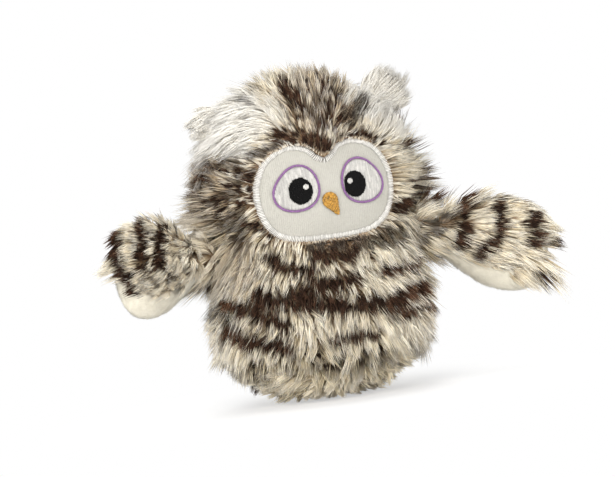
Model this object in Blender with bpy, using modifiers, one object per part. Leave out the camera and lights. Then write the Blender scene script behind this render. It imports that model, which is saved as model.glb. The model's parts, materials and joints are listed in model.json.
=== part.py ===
"""Plush owl: a sewn fur body with an embroidered felt face, two flapping wings and two ear tufts.

Blender 4.5 script. Units are metres, +Z is up, the owl faces -Y, and its own left side is at +X.
The origin is the centre of the flat patch that the owl stands on.
Each fur panel is one solid: its woven backing and the dense lower part of its pile.
"""

import math

import bmesh
import bpy
import numpy as np
from mathutils import Matrix, Vector

# Body: half widths from the ground up, and the heights where they are measured
BODY_HEIGHT = 0.172
FOOT_HALF_WIDTH = 0.022
BASE_SEAM_HALF_WIDTH = 0.057
BASE_SEAM_HEIGHT = 0.030
TORSO_HALF_WIDTH = 0.0585
NECK_HALF_WIDTH = 0.0505
NECK_HEIGHT = 0.082
HEAD_HALF_WIDTH = 0.0565
HEAD_HALF_DEPTH = 0.0508
FUR_LAYER = 0.010
SEAM_GAP = 0.0003
SEAM_DRAW = 0.0016
SEAM_DRAW_ANGLE = math.radians(13)

# Places along the outline, as shares of the sizes on either side of them
BASE_BULGE_SHARES = ((0.50, 0.09), (0.72, 0.33), (0.90, 0.65))
TORSO_BULGE_SHARES = ((1.0, 0.25), (0.965, 0.58))
HEAD_BULGE_SHARES = ((0.965, 0.17), (1.0, 0.36), (0.94, 0.58), (0.75, 0.79), (0.44, 0.935))

# Felt face and its embroidery
FACE_HALF_WIDTH = 0.0375
FACE_HALF_HEIGHT = 0.0255
FACE_HEIGHT = 0.110
FACE_CURVE_RADIUS = 0.075
FACE_SINK = 0.0045
FACE_OUTLINE_SHARES = (
    (0.10, 0.72), (0.21, 0.89), (0.43, 0.97), (0.66, 0.89), (0.86, 0.64), (0.985, 0.22),
    (0.985, -0.22), (0.89, -0.62), (0.69, -0.89), (0.40, -1.0), (0.0, -1.02),
)
FACE_NOTCH_SHARE = 0.63
FELT_THICKNESS = 0.0016
SATIN_THICKNESS = 0.0008
BORDER_RADIUS = 0.0012
BORDER_SINK = 0.0004
BORDER_POINTS = 56
BORDER_STEPS = 6

EYE_LONG_RADIUS = 0.0134
EYE_SHORT_RADIUS = 0.0115
EYE_LEAN = math.radians(45)
EYE_OFFSET = 0.0175
EYE_RISE = 0.0018
EYE_RING_RADIUS = 0.00075
EYE_RING_POINTS = 24
PUPIL_HALF_WIDTH = 0.0061
PUPIL_HALF_HEIGHT = 0.0067
PUPIL_INSET = 0.0029
PUPIL_DROP = 0.0011
GLINT_RADIUS = 0.0018
GLINT_INSET = 0.0028
GLINT_RISE = 0.0018
BEAK_RADIUS = 0.0041
BEAK_LENGTH = 0.0090
BEAK_DROP = 0.0058
BEAK_LEAN = math.radians(26)
BEAK_THICKNESS = 0.0016
BEAK_TIP_SHARE = 0.2

# Wings: the root ball sits in a dent of the body, on the line of the side seams
ROOT_RADIUS = 0.0125
ROOT_STANDOFF = 0.0085
WING_LENGTH = 0.065
WING_START = 0.0065
WING_HALF_CHORD = 0.0255
WING_HALF_THICKNESS = 0.0112
WING_LAYER = 0.0045
WING_SEAM_LEAN = math.radians(18)
WING_SEAM_FORWARD = 0.0035
WING_LEAF_SHARES = (
    (0.0, 0.0, 0.0), (0.03, 0.34, 0.50), (0.12, 0.46, 0.68), (0.30, 0.72, 0.88), (0.52, 0.96, 1.0),
    (0.72, 1.0, 0.96), (0.87, 0.90, 0.80), (0.96, 0.62, 0.54), (1.0, 0.0, 0.0),
)

# How each wing is held at rest: swept forward, and drooping
LEFT_WING_SWEEP = math.radians(30)
LEFT_WING_DROOP = math.radians(16)
RIGHT_WING_SWEEP = math.radians(40)
RIGHT_WING_DROOP = math.radians(0)

# Ear tufts: folded flaps of long pile, sewn along the sides of the crown
EAR_LENGTH = 0.017
EAR_HALF_WIDTH = 0.0145
EAR_HALF_THICKNESS = 0.0058
EAR_ROOT_RADIUS = 0.0038
EAR_PLACE_SHARE = 0.755
EAR_LEAF_SHARES = (
    (0.0, 0.0, 0.0), (0.016, 0.62, 0.28), (0.065, 0.80, 0.52), (0.15, 0.92, 0.68), (0.42, 1.0, 1.0),
    (0.68, 0.88, 0.92), (0.89, 0.56, 0.62), (1.0, 0.0, 0.0),
)

# How finely the forms are divided
TURN_STEPS = 32
OUTLINE_STEPS = 2
LEAF_SEGMENTS = 20
LEAF_RINGS = 12
BALL_SEGMENTS = 16
BALL_RINGS = 12
CLOTH_CELL = 0.006
FINE_CELL = 0.0045
BEAK_STEPS = 12
OVERRUN = 0.030
MERGE_SHARE = 0.0001
WELD_SHARE = 0.01
SHARP_EDGE = math.radians(50)
FLAT_EDGE = math.radians(1)

LEFT, RIGHT = 1, -1
SIDE_NAMES = {LEFT: "left", RIGHT: "right"}
WING_HOLD = {LEFT: (LEFT_WING_SWEEP, LEFT_WING_DROOP), RIGHT: (RIGHT_WING_SWEEP, RIGHT_WING_DROOP)}

CREAM = (0.80, 0.76, 0.68)
BARRED = (0.42, 0.36, 0.31)
SNOW = (0.90, 0.89, 0.85)
FELT = (0.90, 0.89, 0.85)
LILAC = (0.44, 0.26, 0.48)
BLACK = (0.012, 0.011, 0.012)
GOLD = (0.72, 0.42, 0.08)
WHITE = (0.93, 0.93, 0.92)


def clear_scene():
    for old in list(bpy.data.objects):
        bpy.data.objects.remove(old, do_unlink=True)


def new_collection(name):
    collection = bpy.data.collections.new(name)
    bpy.context.scene.collection.children.link(collection)
    return collection


def fabric(name, colour, roughness=0.9):
    """A plain cloth material."""
    material = bpy.data.materials.get(name) or bpy.data.materials.new(name)
    material.use_nodes = True
    shader = material.node_tree.nodes["Principled BSDF"]
    shader.inputs["Base Color"].default_value = (*colour, 1.0)
    shader.inputs["Roughness"].default_value = roughness
    shader.inputs["Metallic"].default_value = 0.0
    return material


def add_part(name, mesh, material=None, helper=False):
    """Links a mesh as a named part, or as a hidden helper for cutting."""
    mesh.name = name
    part = bpy.data.objects.new(name, mesh)
    (helpers if helper else owl).objects.link(part)
    if helper:
        part.hide_render = True
        part.display_type = "WIRE"
    if material:
        mesh.materials.clear()
        mesh.materials.append(material)
    return part


def evaluated_mesh(part):
    """The part's mesh with its modifiers applied. A curve's caps are welded to its sides."""
    bpy.context.view_layer.update()
    graph = bpy.context.evaluated_depsgraph_get()
    mesh = bpy.data.meshes.new_from_object(part.evaluated_get(graph))
    shape = bmesh.new()
    shape.from_mesh(mesh)
    bmesh.ops.remove_doubles(shape, verts=shape.verts, dist=SEAM_GAP * WELD_SHARE)
    shape.to_mesh(mesh)
    shape.free()
    return mesh


def discard(*parts):
    for part in parts:
        bpy.data.objects.remove(part, do_unlink=True)


def boolean(part, other, operation="DIFFERENCE"):
    """Cuts the part by another, or keeps what they share."""
    modifier = part.modifiers.new(operation.lower(), "BOOLEAN")
    modifier.operation = operation
    modifier.object = other
    modifier.solver = "EXACT"
    return modifier


def shade(mesh):
    mesh.shade_smooth()
    mesh.set_sharp_from_angle(angle=SHARP_EDGE)


def carved(name, blank, cutters, keep, material):
    """A part made from a blank: the cutters are taken away, and what lies in the keep block stays."""
    part = add_part(name + "_blank", blank.data.copy(), helper=True)
    if keep:
        boolean(part, keep, "INTERSECT")
    for cutter in cutters:
        boolean(part, cutter)
    mesh = evaluated_mesh(part)
    discard(part)
    shade(mesh)
    return add_part(name, mesh, material)


def smooth_line(points, steps, before=None, after=None):
    """Points along a smooth curve through the given ones, with some steps between each two."""
    points = [np.array(p, float) for p in points]
    first = np.array(before, float) if before else 2 * points[0] - points[1]
    last = np.array(after, float) if after else 2 * points[-1] - points[-2]
    row = [first, *points, last]
    found = []
    for a, b, c, d in zip(row, row[1:], row[2:], row[3:]):
        slope, bend, twist = c - a, 2 * a - 5 * b + 4 * c - d, 3 * b - a - 3 * c + d
        for step in range(steps):
            t = step / steps
            found.append(b + (slope * t + bend * t**2 + twist * t**3) / 2)
    found.append(points[-1])
    return found


def moved_left(line, by, closed=False):
    """A flat line moved to its left by a distance, square to itself."""
    line = np.array(line)
    ahead = np.roll(line, -1, axis=0) - np.roll(line, 1, axis=0)
    if not closed:
        ahead[0], ahead[-1] = line[1] - line[0], line[-1] - line[-2]
    length = np.linalg.norm(ahead, axis=1, keepdims=True)
    left = np.stack([-ahead[:, 1], ahead[:, 0]], axis=1) / length
    return line + left * by


def body_outline():
    """The body's half width at each height, from the edge of the foot to the crown."""
    points = [(FOOT_HALF_WIDTH, 0.0)]
    points += [(w * BASE_SEAM_HALF_WIDTH, h * BASE_SEAM_HEIGHT) for w, h in BASE_BULGE_SHARES]
    points.append((BASE_SEAM_HALF_WIDTH, BASE_SEAM_HEIGHT))
    torso = NECK_HEIGHT - BASE_SEAM_HEIGHT
    points += [(w * TORSO_HALF_WIDTH, BASE_SEAM_HEIGHT + h * torso) for w, h in TORSO_BULGE_SHARES]
    points.append((NECK_HALF_WIDTH, NECK_HEIGHT))
    head = BODY_HEIGHT - NECK_HEIGHT
    points += [(w * HEAD_HALF_WIDTH, NECK_HEIGHT + h * head) for w, h in HEAD_BULGE_SHARES]
    points.append((0.0, BODY_HEIGHT))
    past_crown = (-points[-2][0], points[-2][1])
    return smooth_line(points, OUTLINE_STEPS, before=(0.0, 0.0), after=past_crown)


def half_width_at(height):
    outline = np.array(body_outline())
    return float(np.interp(height, outline[:, 1], outline[:, 0]))


def depth_share():
    """How deep the body is for its width."""
    return HEAD_HALF_DEPTH / HEAD_HALF_WIDTH


def slope_at(height):
    """The direction square to the body's side at a height, in the plane of width and height."""
    outline = np.array(body_outline())
    nearest = int(np.abs(outline[:, 1] - height).argmin())
    along = outline[nearest + 1] - outline[nearest - 1]
    along /= np.linalg.norm(along)
    return Vector((along[1], 0.0, -along[0]))


def turned_body(name, inset):
    """The whole body as one turned form, narrowed all over by an inset."""
    rise = [(max(0.0, r), z) for r, z in moved_left(body_outline(), inset)]
    rise[-1] = (0.0, BODY_HEIGHT - inset)
    profile = [(0.0, inset), *((r, max(z, inset)) for r, z in rise)][::-1]
    mesh = bpy.data.meshes.new(name)
    line = bmesh.new()
    points = [line.verts.new((r, 0.0, z)) for r, z in profile]
    for upper, lower in zip(points, points[1:]):
        line.edges.new((upper, lower))
    line.to_mesh(mesh)
    line.free()
    form = add_part(name, mesh, helper=True)
    screw = form.modifiers.new("turn", "SCREW")
    screw.steps = screw.render_steps = TURN_STEPS
    screw.use_merge_vertices = True
    screw.merge_threshold = SEAM_GAP * MERGE_SHARE
    turned = evaluated_mesh(form)
    discard(form)
    turned.transform(Matrix.Diagonal((1.0, depth_share(), 1.0, 1.0)))
    return add_part(name, turned, helper=True)


def draw_in_at_seams(form):
    """Pulls the surface in beside the two side seams and the centre back seam."""
    seams = (0.0, math.pi / 2, math.pi)
    for point in form.data.vertices:
        radius = math.hypot(point.co.x, point.co.y)
        if radius < SEAM_DRAW * 2:
            continue
        angle = math.atan2(point.co.y, point.co.x)
        away = min(abs(math.remainder(angle - seam, 2 * math.pi)) for seam in seams)
        pull = SEAM_DRAW * math.exp(-((away / SEAM_DRAW_ANGLE) ** 2))
        fade = min(1.0, radius / FOOT_HALF_WIDTH) * min(1.0, point.co.z / BASE_SEAM_HEIGHT)
        point.co.x *= 1 - pull * fade / radius
        point.co.y *= 1 - pull * fade / radius


def block(name, low, high):
    """A box between two corners, to cut with."""
    shape = bmesh.new()
    bmesh.ops.create_cube(shape, size=1.0)
    size = Vector(high) - Vector(low)
    bmesh.ops.scale(shape, verts=shape.verts, vec=size)
    bmesh.ops.translate(shape, verts=shape.verts, vec=(Vector(low) + Vector(high)) / 2)
    mesh = bpy.data.meshes.new(name)
    shape.to_mesh(mesh)
    shape.free()
    return add_part(name, mesh, helper=True)


def ball_mesh(radius, centre=(0.0, 0.0, 0.0)):
    mesh = bpy.data.meshes.new("ball")
    shape = bmesh.new()
    bmesh.ops.create_uvsphere(shape, u_segments=BALL_SEGMENTS, v_segments=BALL_RINGS, radius=radius)
    bmesh.ops.translate(shape, verts=shape.verts, vec=centre)
    shape.to_mesh(mesh)
    shape.free()
    return mesh


def shoulder(side):
    """The centre of a wing's root ball: just outside the neck, in line with the side seams."""
    return Vector((side * (NECK_HALF_WIDTH + ROOT_STANDOFF), 0.0, NECK_HEIGHT))


def reach():
    """Further than any part of the body, for cutting blocks."""
    return BODY_HEIGHT + OVERRUN


def panel_block(name, low_height, high_height, front, side=None):
    """The space of one panel: between two seams, before or behind the side seams, left or right."""
    gap, far = SEAM_GAP / 2, reach()
    low = [-far, -far, low_height + gap]
    high = [far, far, high_height - gap]
    if front is True:
        high[1] = -gap
    if front is False:
        low[1] = gap
    if side == LEFT:
        low[0] = gap
    if side == RIGHT:
        high[0] = -gap
    return block(name, low, high)


def make_body():
    """The sewn skin in its panels, and the fibre filling inside it."""
    skin = turned_body("skin_form", 0.0)
    draw_in_at_seams(skin)
    hollow = turned_body("hollow_form", FUR_LAYER)
    dents = [add_part(f"dent_{SIDE_NAMES[s]}", ball_mesh(ROOT_RADIUS + SEAM_GAP, shoulder(s)), helper=True)
             for s in (LEFT, RIGHT)]
    fur = fabric("barred_fur", BARRED)
    seat = face_seat()
    low, high = -reach(), reach()
    panels = (
        ("base_panel", low, BASE_SEAM_HEIGHT, None, None, ()),
        ("belly_panel", BASE_SEAM_HEIGHT, NECK_HEIGHT, True, None, (*dents, seat)),
        ("back_panel_left", BASE_SEAM_HEIGHT, NECK_HEIGHT, False, LEFT, dents[:1]),
        ("back_panel_right", BASE_SEAM_HEIGHT, NECK_HEIGHT, False, RIGHT, dents[1:]),
        ("forehead_panel", NECK_HEIGHT, high, True, None, (*dents, seat)),
        ("nape_panel_left", NECK_HEIGHT, high, False, LEFT, dents[:1]),
        ("nape_panel_right", NECK_HEIGHT, high, False, RIGHT, dents[1:]),
    )
    for name, bottom, top, front, side, cutters in panels:
        keep = panel_block(name + "_block", bottom, top, front, side)
        carved(name, skin, (hollow, *cutters), keep, fur)
    filling = turned_body("filling_form", FUR_LAYER + SEAM_GAP)
    carved("body_filling", filling, (seat,), None, fabric("fibre_fill", WHITE))


def face_outline():
    """The outer edge of the face patch: two round brows with a notch between, in width and height."""
    half = [(w * FACE_HALF_WIDTH, h * FACE_HALF_HEIGHT) for w, h in FACE_OUTLINE_SHARES]
    notch = (0.0, FACE_NOTCH_SHARE * FACE_HALF_HEIGHT)
    past_middle = (-half[-2][0], half[-2][1])
    right = smooth_line([notch, *half], BORDER_STEPS, after=past_middle)
    left = [(-x, z) for x, z in right[1:-1]][::-1]
    return [tuple(p) for p in right] + left


def evenly_spaced(line, count):
    """A closed line again, with its points spread evenly along it."""
    line = np.array([*line, line[0]])
    along = np.concatenate([[0.0], np.cumsum(np.linalg.norm(np.diff(line, axis=0), axis=1))])
    places = np.linspace(0.0, along[-1], count, endpoint=False)
    return np.stack([np.interp(places, along, line[:, k]) for k in range(2)], axis=1)


def face_front():
    """How far the middle of the felt lies in front of the body's axis."""
    return half_width_at(FACE_HEIGHT) * depth_share() - FACE_SINK


def on_face(x, z, depth=0.0):
    """A point of the face: across, up, and out from the felt's front, which curves back all round."""
    back = (x * x + z * z) / (2 * FACE_CURVE_RADIUS)
    return Vector((x, -(face_front() + depth) + back, FACE_HEIGHT + z))


def plate_mesh(outline, front, thickness, cell):
    """A flat outline given thickness, cut in cells and curved like the face."""
    curve = bpy.data.curves.new("plate", "CURVE")
    curve.dimensions = "2D"
    curve.fill_mode = "BOTH"
    curve.extrude = thickness / 2
    spline = curve.splines.new("POLY")
    spline.points.add(len(outline) - 1)
    for point, (x, z) in zip(spline.points, outline):
        point.co = (x, z, 0.0, 1.0)
    spline.use_cyclic_u = True
    flat = bpy.data.objects.new("plate", curve)
    helpers.objects.link(flat)
    mesh = evaluated_mesh(flat)
    discard(flat)
    shape = bmesh.new()
    shape.from_mesh(mesh)
    bmesh.ops.dissolve_limit(shape, angle_limit=FLAT_EDGE, verts=shape.verts, edges=shape.edges)
    for axis in (0, 1):
        most = max(abs(v.co[axis]) for v in shape.verts)
        for step in range(-int(most / cell) - 1, int(most / cell) + 2):
            place, normal = Vector((0.0, 0.0, 0.0)), Vector((0.0, 0.0, 0.0))
            place[axis], normal[axis] = (step + 0.5) * cell, 1.0
            geometry = shape.verts[:] + shape.edges[:] + shape.faces[:]
            bmesh.ops.bisect_plane(shape, geom=geometry, plane_co=place, plane_no=normal)
    bmesh.ops.remove_doubles(shape, verts=shape.verts, dist=SEAM_GAP * WELD_SHARE)
    bmesh.ops.triangulate(shape, faces=shape.faces)
    for point in shape.verts:
        point.co = on_face(point.co.x, point.co.y, front - thickness / 2 + point.co.z)
    bmesh.ops.recalc_face_normals(shape, faces=shape.faces)
    shape.to_mesh(mesh)
    shape.free()
    shade(mesh)
    return mesh


def bead(name, line, radius, depth, material):
    """A closed bead of satin stitch along a line on the face."""
    curve = bpy.data.curves.new(name, "CURVE")
    curve.dimensions = "3D"
    curve.bevel_depth = radius
    curve.bevel_resolution = 1
    spline = curve.splines.new("POLY")
    spline.points.add(len(line) - 1)
    for point, (x, z) in zip(spline.points, line):
        point.co = (*on_face(x, z, depth), 1.0)
    spline.use_cyclic_u = True
    tube = bpy.data.objects.new(name, curve)
    helpers.objects.link(tube)
    mesh = evaluated_mesh(tube)
    discard(tube)
    shade(mesh)
    return add_part(name, mesh, material)


def ellipse(half_width, half_height, lean, centre, count):
    """Points round an ellipse that leans anticlockwise."""
    found = []
    for step in range(count):
        turn = 2 * math.pi * step / count
        x, z = half_width * math.cos(turn), half_height * math.sin(turn)
        found.append((
            centre[0] + x * math.cos(lean) - z * math.sin(lean),
            centre[1] + x * math.sin(lean) + z * math.cos(lean),
        ))
    return found


def beak_outline():
    """A round top that runs down to a blunt point, leaning to the owl's left."""
    taper = math.asin(BEAK_RADIUS / BEAK_LENGTH)
    found = []
    for step in range(BEAK_STEPS + 1):
        turn = -taper + (math.pi + 2 * taper) * step / BEAK_STEPS
        found.append((BEAK_RADIUS * math.cos(turn), BEAK_RADIUS * math.sin(turn)))
    blunt = BEAK_TIP_SHARE * BEAK_RADIUS
    found += [(-blunt, -BEAK_LENGTH + blunt), (0.0, -BEAK_LENGTH), (blunt, -BEAK_LENGTH + blunt)]
    lean, down = BEAK_LEAN, BEAK_DROP
    return [
        (x * math.cos(lean) - z * math.sin(lean), x * math.sin(lean) + z * math.cos(lean) - down)
        for x, z in found
    ]


def face_edge(inset):
    """The face outline moved in by a distance. It runs clockwise, so its left is outside."""
    return moved_left(evenly_spaced(face_outline(), BORDER_POINTS), -inset, closed=True)


def face_seat():
    """What the fur panels leave free for the face patch and its border."""
    floor = -FELT_THICKNESS - SEAM_GAP
    mesh = plate_mesh(face_edge(-SEAM_GAP), floor + OVERRUN, OVERRUN, CLOTH_CELL)
    return add_part("face_seat", mesh, helper=True)


def make_face():
    """The felt patch, its satin border, the two embroidered eyes and the beak."""
    patch = plate_mesh(face_edge(2 * BORDER_RADIUS + SEAM_GAP), 0.0, FELT_THICKNESS, CLOTH_CELL)
    add_part("face_patch", patch, fabric("face_felt", FELT))
    bead("face_border", face_edge(BORDER_RADIUS), BORDER_RADIUS, -BORDER_SINK,
         fabric("white_satin", WHITE, 0.5))
    for side in (LEFT, RIGHT):
        make_eye(side)
    beak = plate_mesh(beak_outline(), SEAM_GAP + BEAK_THICKNESS, BEAK_THICKNESS, FINE_CELL)
    add_part("beak", beak, fabric("gold_satin", GOLD, 0.4))


def make_eye(side):
    """A lilac ring, the white inside it, a black pupil and a small glint."""
    name = SIDE_NAMES[side]
    centre = (side * EYE_OFFSET, EYE_RISE)
    lean = -side * EYE_LEAN
    ring = ellipse(EYE_LONG_RADIUS - EYE_RING_RADIUS, EYE_SHORT_RADIUS - EYE_RING_RADIUS,
                   lean, centre, EYE_RING_POINTS)
    bead(f"eye_ring_{name}", ring, EYE_RING_RADIUS, SEAM_GAP + EYE_RING_RADIUS,
         fabric("lilac_satin", LILAC, 0.5))
    inside = 2 * EYE_RING_RADIUS + SEAM_GAP
    white = ellipse(EYE_LONG_RADIUS - inside, EYE_SHORT_RADIUS - inside, lean, centre, EYE_RING_POINTS)
    white_front = SEAM_GAP + SATIN_THICKNESS
    add_part(f"eye_white_{name}", plate_mesh(white, white_front, SATIN_THICKNESS, FINE_CELL),
             fabric("white_satin", WHITE, 0.5))
    middle = (centre[0] - side * PUPIL_INSET, centre[1] - PUPIL_DROP)
    pupil = ellipse(PUPIL_HALF_WIDTH, PUPIL_HALF_HEIGHT, 0.0, middle, EYE_RING_POINTS)
    pupil_front = white_front + SEAM_GAP + SATIN_THICKNESS
    add_part(f"pupil_{name}", plate_mesh(pupil, pupil_front, SATIN_THICKNESS, FINE_CELL),
             fabric("black_satin", BLACK, 0.5))
    spot = (middle[0] - side * GLINT_INSET, middle[1] + GLINT_RISE)
    glint = ellipse(GLINT_RADIUS, GLINT_RADIUS, 0.0, spot, EYE_RING_POINTS // 2)
    glint_front = pupil_front + SEAM_GAP + SATIN_THICKNESS
    add_part(f"glint_{name}", plate_mesh(glint, glint_front, SATIN_THICKNESS, FINE_CELL),
             fabric("white_satin", WHITE, 0.5))


def leaf_mesh(start, length, half_width, half_thickness, shares, inset=0.0):
    """A stuffed leaf along +X, wide in Z and thin in Y: a sphere drawn out ring by ring."""
    table = np.array(smooth_line(shares, LEAF_RINGS))
    mesh = bpy.data.meshes.new("leaf")
    shape = bmesh.new()
    bmesh.ops.create_uvsphere(shape, u_segments=LEAF_SEGMENTS, v_segments=LEAF_RINGS, radius=1.0)
    for point in shape.verts:
        place = (1 + point.co.z) / 2
        round_share = math.hypot(point.co.x, point.co.y)
        width = float(np.interp(place, table[:, 0], table[:, 1])) * (half_width - inset)
        thick = float(np.interp(place, table[:, 0], table[:, 2])) * (half_thickness - inset)
        if round_share < MERGE_SHARE:
            across, up = 0.0, 0.0
        else:
            across = point.co.x / round_share * max(thick, 0.0)
            up = point.co.y / round_share * max(width, 0.0)
        along = start + inset + place * (length - 2 * inset)
        point.co = (along, across, up)
    shape.to_mesh(mesh)
    shape.free()
    return mesh


def mirrored(mesh, side):
    """Turns a shape made for the left side over to the right."""
    if side == RIGHT:
        mesh.transform(Matrix.Diagonal((-1.0, 1.0, 1.0, 1.0)))
        mesh.flip_normals()
    return mesh


def joint_empty(name, place, turn, parent=None):
    """An empty on a joint's axis, which carries the pieces that move on it."""
    empty = bpy.data.objects.new(name, None)
    owl.objects.link(empty)
    empty.location = place
    empty.rotation_euler = turn
    empty.empty_display_size = ROOT_RADIUS
    empty.parent = parent
    return empty


def make_wing(side):
    """One wing: a barred outer panel, a smooth lining, the filling, and the gathered root."""
    name = SIDE_NAMES[side]
    sweep, droop = WING_HOLD[side]
    swing = joint_empty(f"shoulder_{name}", shoulder(side), (0.0, 0.0, -side * sweep))
    flap = joint_empty(f"wing_pivot_{name}", (0.0, 0.0, 0.0), (0.0, side * droop, 0.0), swing)

    leaf = (WING_START, WING_LENGTH, WING_HALF_CHORD, WING_HALF_THICKNESS, WING_LEAF_SHARES)
    form = add_part("wing_form", mirrored(leaf_mesh(*leaf), side), helper=True)
    hollow = add_part("wing_hollow", mirrored(leaf_mesh(*leaf, WING_LAYER), side), helper=True)
    root_space = add_part("root_space", ball_mesh(ROOT_RADIUS + SEAM_GAP), helper=True)

    far, seam = WING_LENGTH + OVERRUN, -WING_SEAM_FORWARD
    front = block("front_space", (-far, -far, -far), (far, seam - SEAM_GAP / 2, far))
    rear = block("rear_space", (-far, seam + SEAM_GAP / 2, -far), (far, far, far))
    for space in (front, rear):
        space.data.transform(Matrix.Rotation(-WING_SEAM_LEAN, 4, "X"))

    outer = carved(f"wing_fur_{name}", form, (hollow, root_space), front, fabric("barred_fur", BARRED))
    lining = carved(f"wing_lining_{name}", form, (hollow, root_space), rear, fabric("smooth_plush", CREAM))
    core = add_part("wing_core", mirrored(leaf_mesh(*leaf, WING_LAYER + SEAM_GAP), side), helper=True)
    filling = carved(f"wing_filling_{name}", core, (root_space,), None, fabric("fibre_fill", WHITE))
    root = add_part(f"wing_root_{name}", ball_mesh(ROOT_RADIUS), fabric("barred_fur", BARRED))
    shade(root.data)
    for part in (outer, lining, filling):
        part.parent = flap
    root.parent = swing


def make_ear(side):
    """One ear tuft: a folded flap, rounded at the seam that it flops on."""
    name = SIDE_NAMES[side]
    height = NECK_HEIGHT + EAR_PLACE_SHARE * (BODY_HEIGHT - NECK_HEIGHT)
    out = slope_at(height)
    seam = Vector((half_width_at(height) - SEAM_DRAW, 0.0, height)) + out * (EAR_ROOT_RADIUS + SEAM_GAP)
    rise = math.atan2(out.z, out.x)
    pivot = joint_empty(f"ear_seam_{name}", (side * seam.x, seam.y, seam.z), (0.0, -side * rise, 0.0))
    leaf = leaf_mesh(-EAR_ROOT_RADIUS, EAR_LENGTH + EAR_ROOT_RADIUS, EAR_HALF_WIDTH,
                     EAR_HALF_THICKNESS, EAR_LEAF_SHARES)
    shade(leaf)
    ear = add_part(f"ear_tuft_{name}", mirrored(leaf, side), fabric("snow_fur", SNOW))
    ear.parent = pivot


clear_scene()
owl = new_collection("plush_owl")
helpers = new_collection("cutters")
make_body()
make_face()
for owl_side in (LEFT, RIGHT):
    make_wing(owl_side)
    make_ear(owl_side)
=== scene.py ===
"""Looks for the plush owl: long barred fur, an embroidered felt face, two stuffed wings and two ear tufts.

Laid out as a Blender 4.5 add-on and run as a script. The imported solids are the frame, and each piece takes
its place from the solid that it stands for. Units are metres, +Z is up and the owl faces -Y.
"""

import json
import math
from types import SimpleNamespace

import bmesh
import bpy
import numpy as np
from bpy.props import FloatProperty, FloatVectorProperty, PointerProperty
from mathutils import Matrix, Vector
from mathutils.bvhtree import BVHTree
from mathutils.kdtree import KDTree

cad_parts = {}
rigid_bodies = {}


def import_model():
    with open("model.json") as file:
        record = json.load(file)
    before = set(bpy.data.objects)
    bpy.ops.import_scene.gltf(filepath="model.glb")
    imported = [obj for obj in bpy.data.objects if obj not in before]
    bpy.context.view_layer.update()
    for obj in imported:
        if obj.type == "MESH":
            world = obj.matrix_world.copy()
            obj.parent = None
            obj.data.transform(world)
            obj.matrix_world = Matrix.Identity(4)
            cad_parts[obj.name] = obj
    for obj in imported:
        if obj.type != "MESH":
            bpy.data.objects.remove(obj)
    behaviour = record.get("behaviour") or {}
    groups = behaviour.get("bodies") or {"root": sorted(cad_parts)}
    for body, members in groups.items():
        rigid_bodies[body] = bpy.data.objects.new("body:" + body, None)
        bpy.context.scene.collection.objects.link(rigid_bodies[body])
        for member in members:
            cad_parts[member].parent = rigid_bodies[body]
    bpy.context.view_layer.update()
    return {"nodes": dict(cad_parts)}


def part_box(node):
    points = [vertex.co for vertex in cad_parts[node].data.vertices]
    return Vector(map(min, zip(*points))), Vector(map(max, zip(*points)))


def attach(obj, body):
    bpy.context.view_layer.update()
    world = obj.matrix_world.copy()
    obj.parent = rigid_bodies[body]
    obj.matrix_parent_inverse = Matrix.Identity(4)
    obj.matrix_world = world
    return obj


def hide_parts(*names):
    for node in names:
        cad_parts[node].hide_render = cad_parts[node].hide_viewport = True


bl_info = {
    "name": "Plush Owl Looks",
    "version": (1, 0, 0),
    "blender": (4, 5, 0),
    "location": "View3D > Sidebar > Plush Owl",
    "description": "Fur, felt and embroidery for a plush owl",
    "category": "Add Mesh",
}

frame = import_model()

SIDES = {"left": 1, "right": -1}
WELD = 0.00001
GROUND_CLEARANCE = 0.0004

# The body's heights and the layer that its fur panels fill, read from the solids
SEAM_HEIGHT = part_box("base_panel")[1].z
NECK_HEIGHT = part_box("belly_panel")[1].z
CROWN_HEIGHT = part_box("forehead_panel")[1].z
CROWN_START = 0.145
BODY_HALF_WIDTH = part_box("base_panel")[1].x
CHEEK_HEIGHT = NECK_HEIGHT + 0.019
PILE_LAYER = CROWN_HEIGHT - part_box("body_filling")[1].z
WING_LAYER = 0.0045
BODY_PANELS = (
    "base_panel", "belly_panel", "forehead_panel", "back_panel_left", "back_panel_right",
    "nape_panel_left", "nape_panel_right",
)

# The cloth: a fur panel's finishes, how far a cloth is smoothed, how squarely a face must look out to carry
# pile, and the share of its layer that the body's backing keeps, with what the face adds to it
ON_BACKING = ("fur_backing", "barred_fur")
CLOTH_SOFTENING = 0.3
OUTER_SIDE = 0.35
BACKING_SHARE, BACKING_RISE = 0.36, 0.42

# How locks differ in steepness (degrees), length, tone and place in the coat's pattern (pixels), and the
# pitches of the waves in their flow and length
LOCK_LIFT, LOCK_LENGTH, LOCK_TONE, LOCK_SHIFT = 9, 0.10, 0.26, 1.5
FLOW_PITCH, LENGTH_PITCH, LENGTH_WAVE = 0.02, 0.015, 0.22

# How strands differ in a lock: in direction, length, steepness at root and tip (degrees), tone and place
STRAND_TURN, STRAND_LENGTH, STRAND_TONE, STRAND_SHIFT = 0.06, 0.13, 0.16, 0.8
ROOT_LIFT, TIP_LIFT, LOOSE_LIFT = 4, 3, 12
MIDDLE_TONE = 0.55
FUR_LEAN = 0.36

# The coat: where along a strand its bars are looked up, how far a bar spreads and how soft its edge is in
# pixels, the shades of its darkest and lightest locks, and the pitch of the rings behind
BAR_PLACES = (0.5, 0.85)
BAR_SPREAD, BAR_SOFT_EDGE = 2.2, 1.5
DEEP_SHADE, LIGHT_SHADE = (0.58, 0.51, 0.42), (1.04, 1.03, 1.02)
BACK_RING_PITCH = 0.0155

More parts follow.
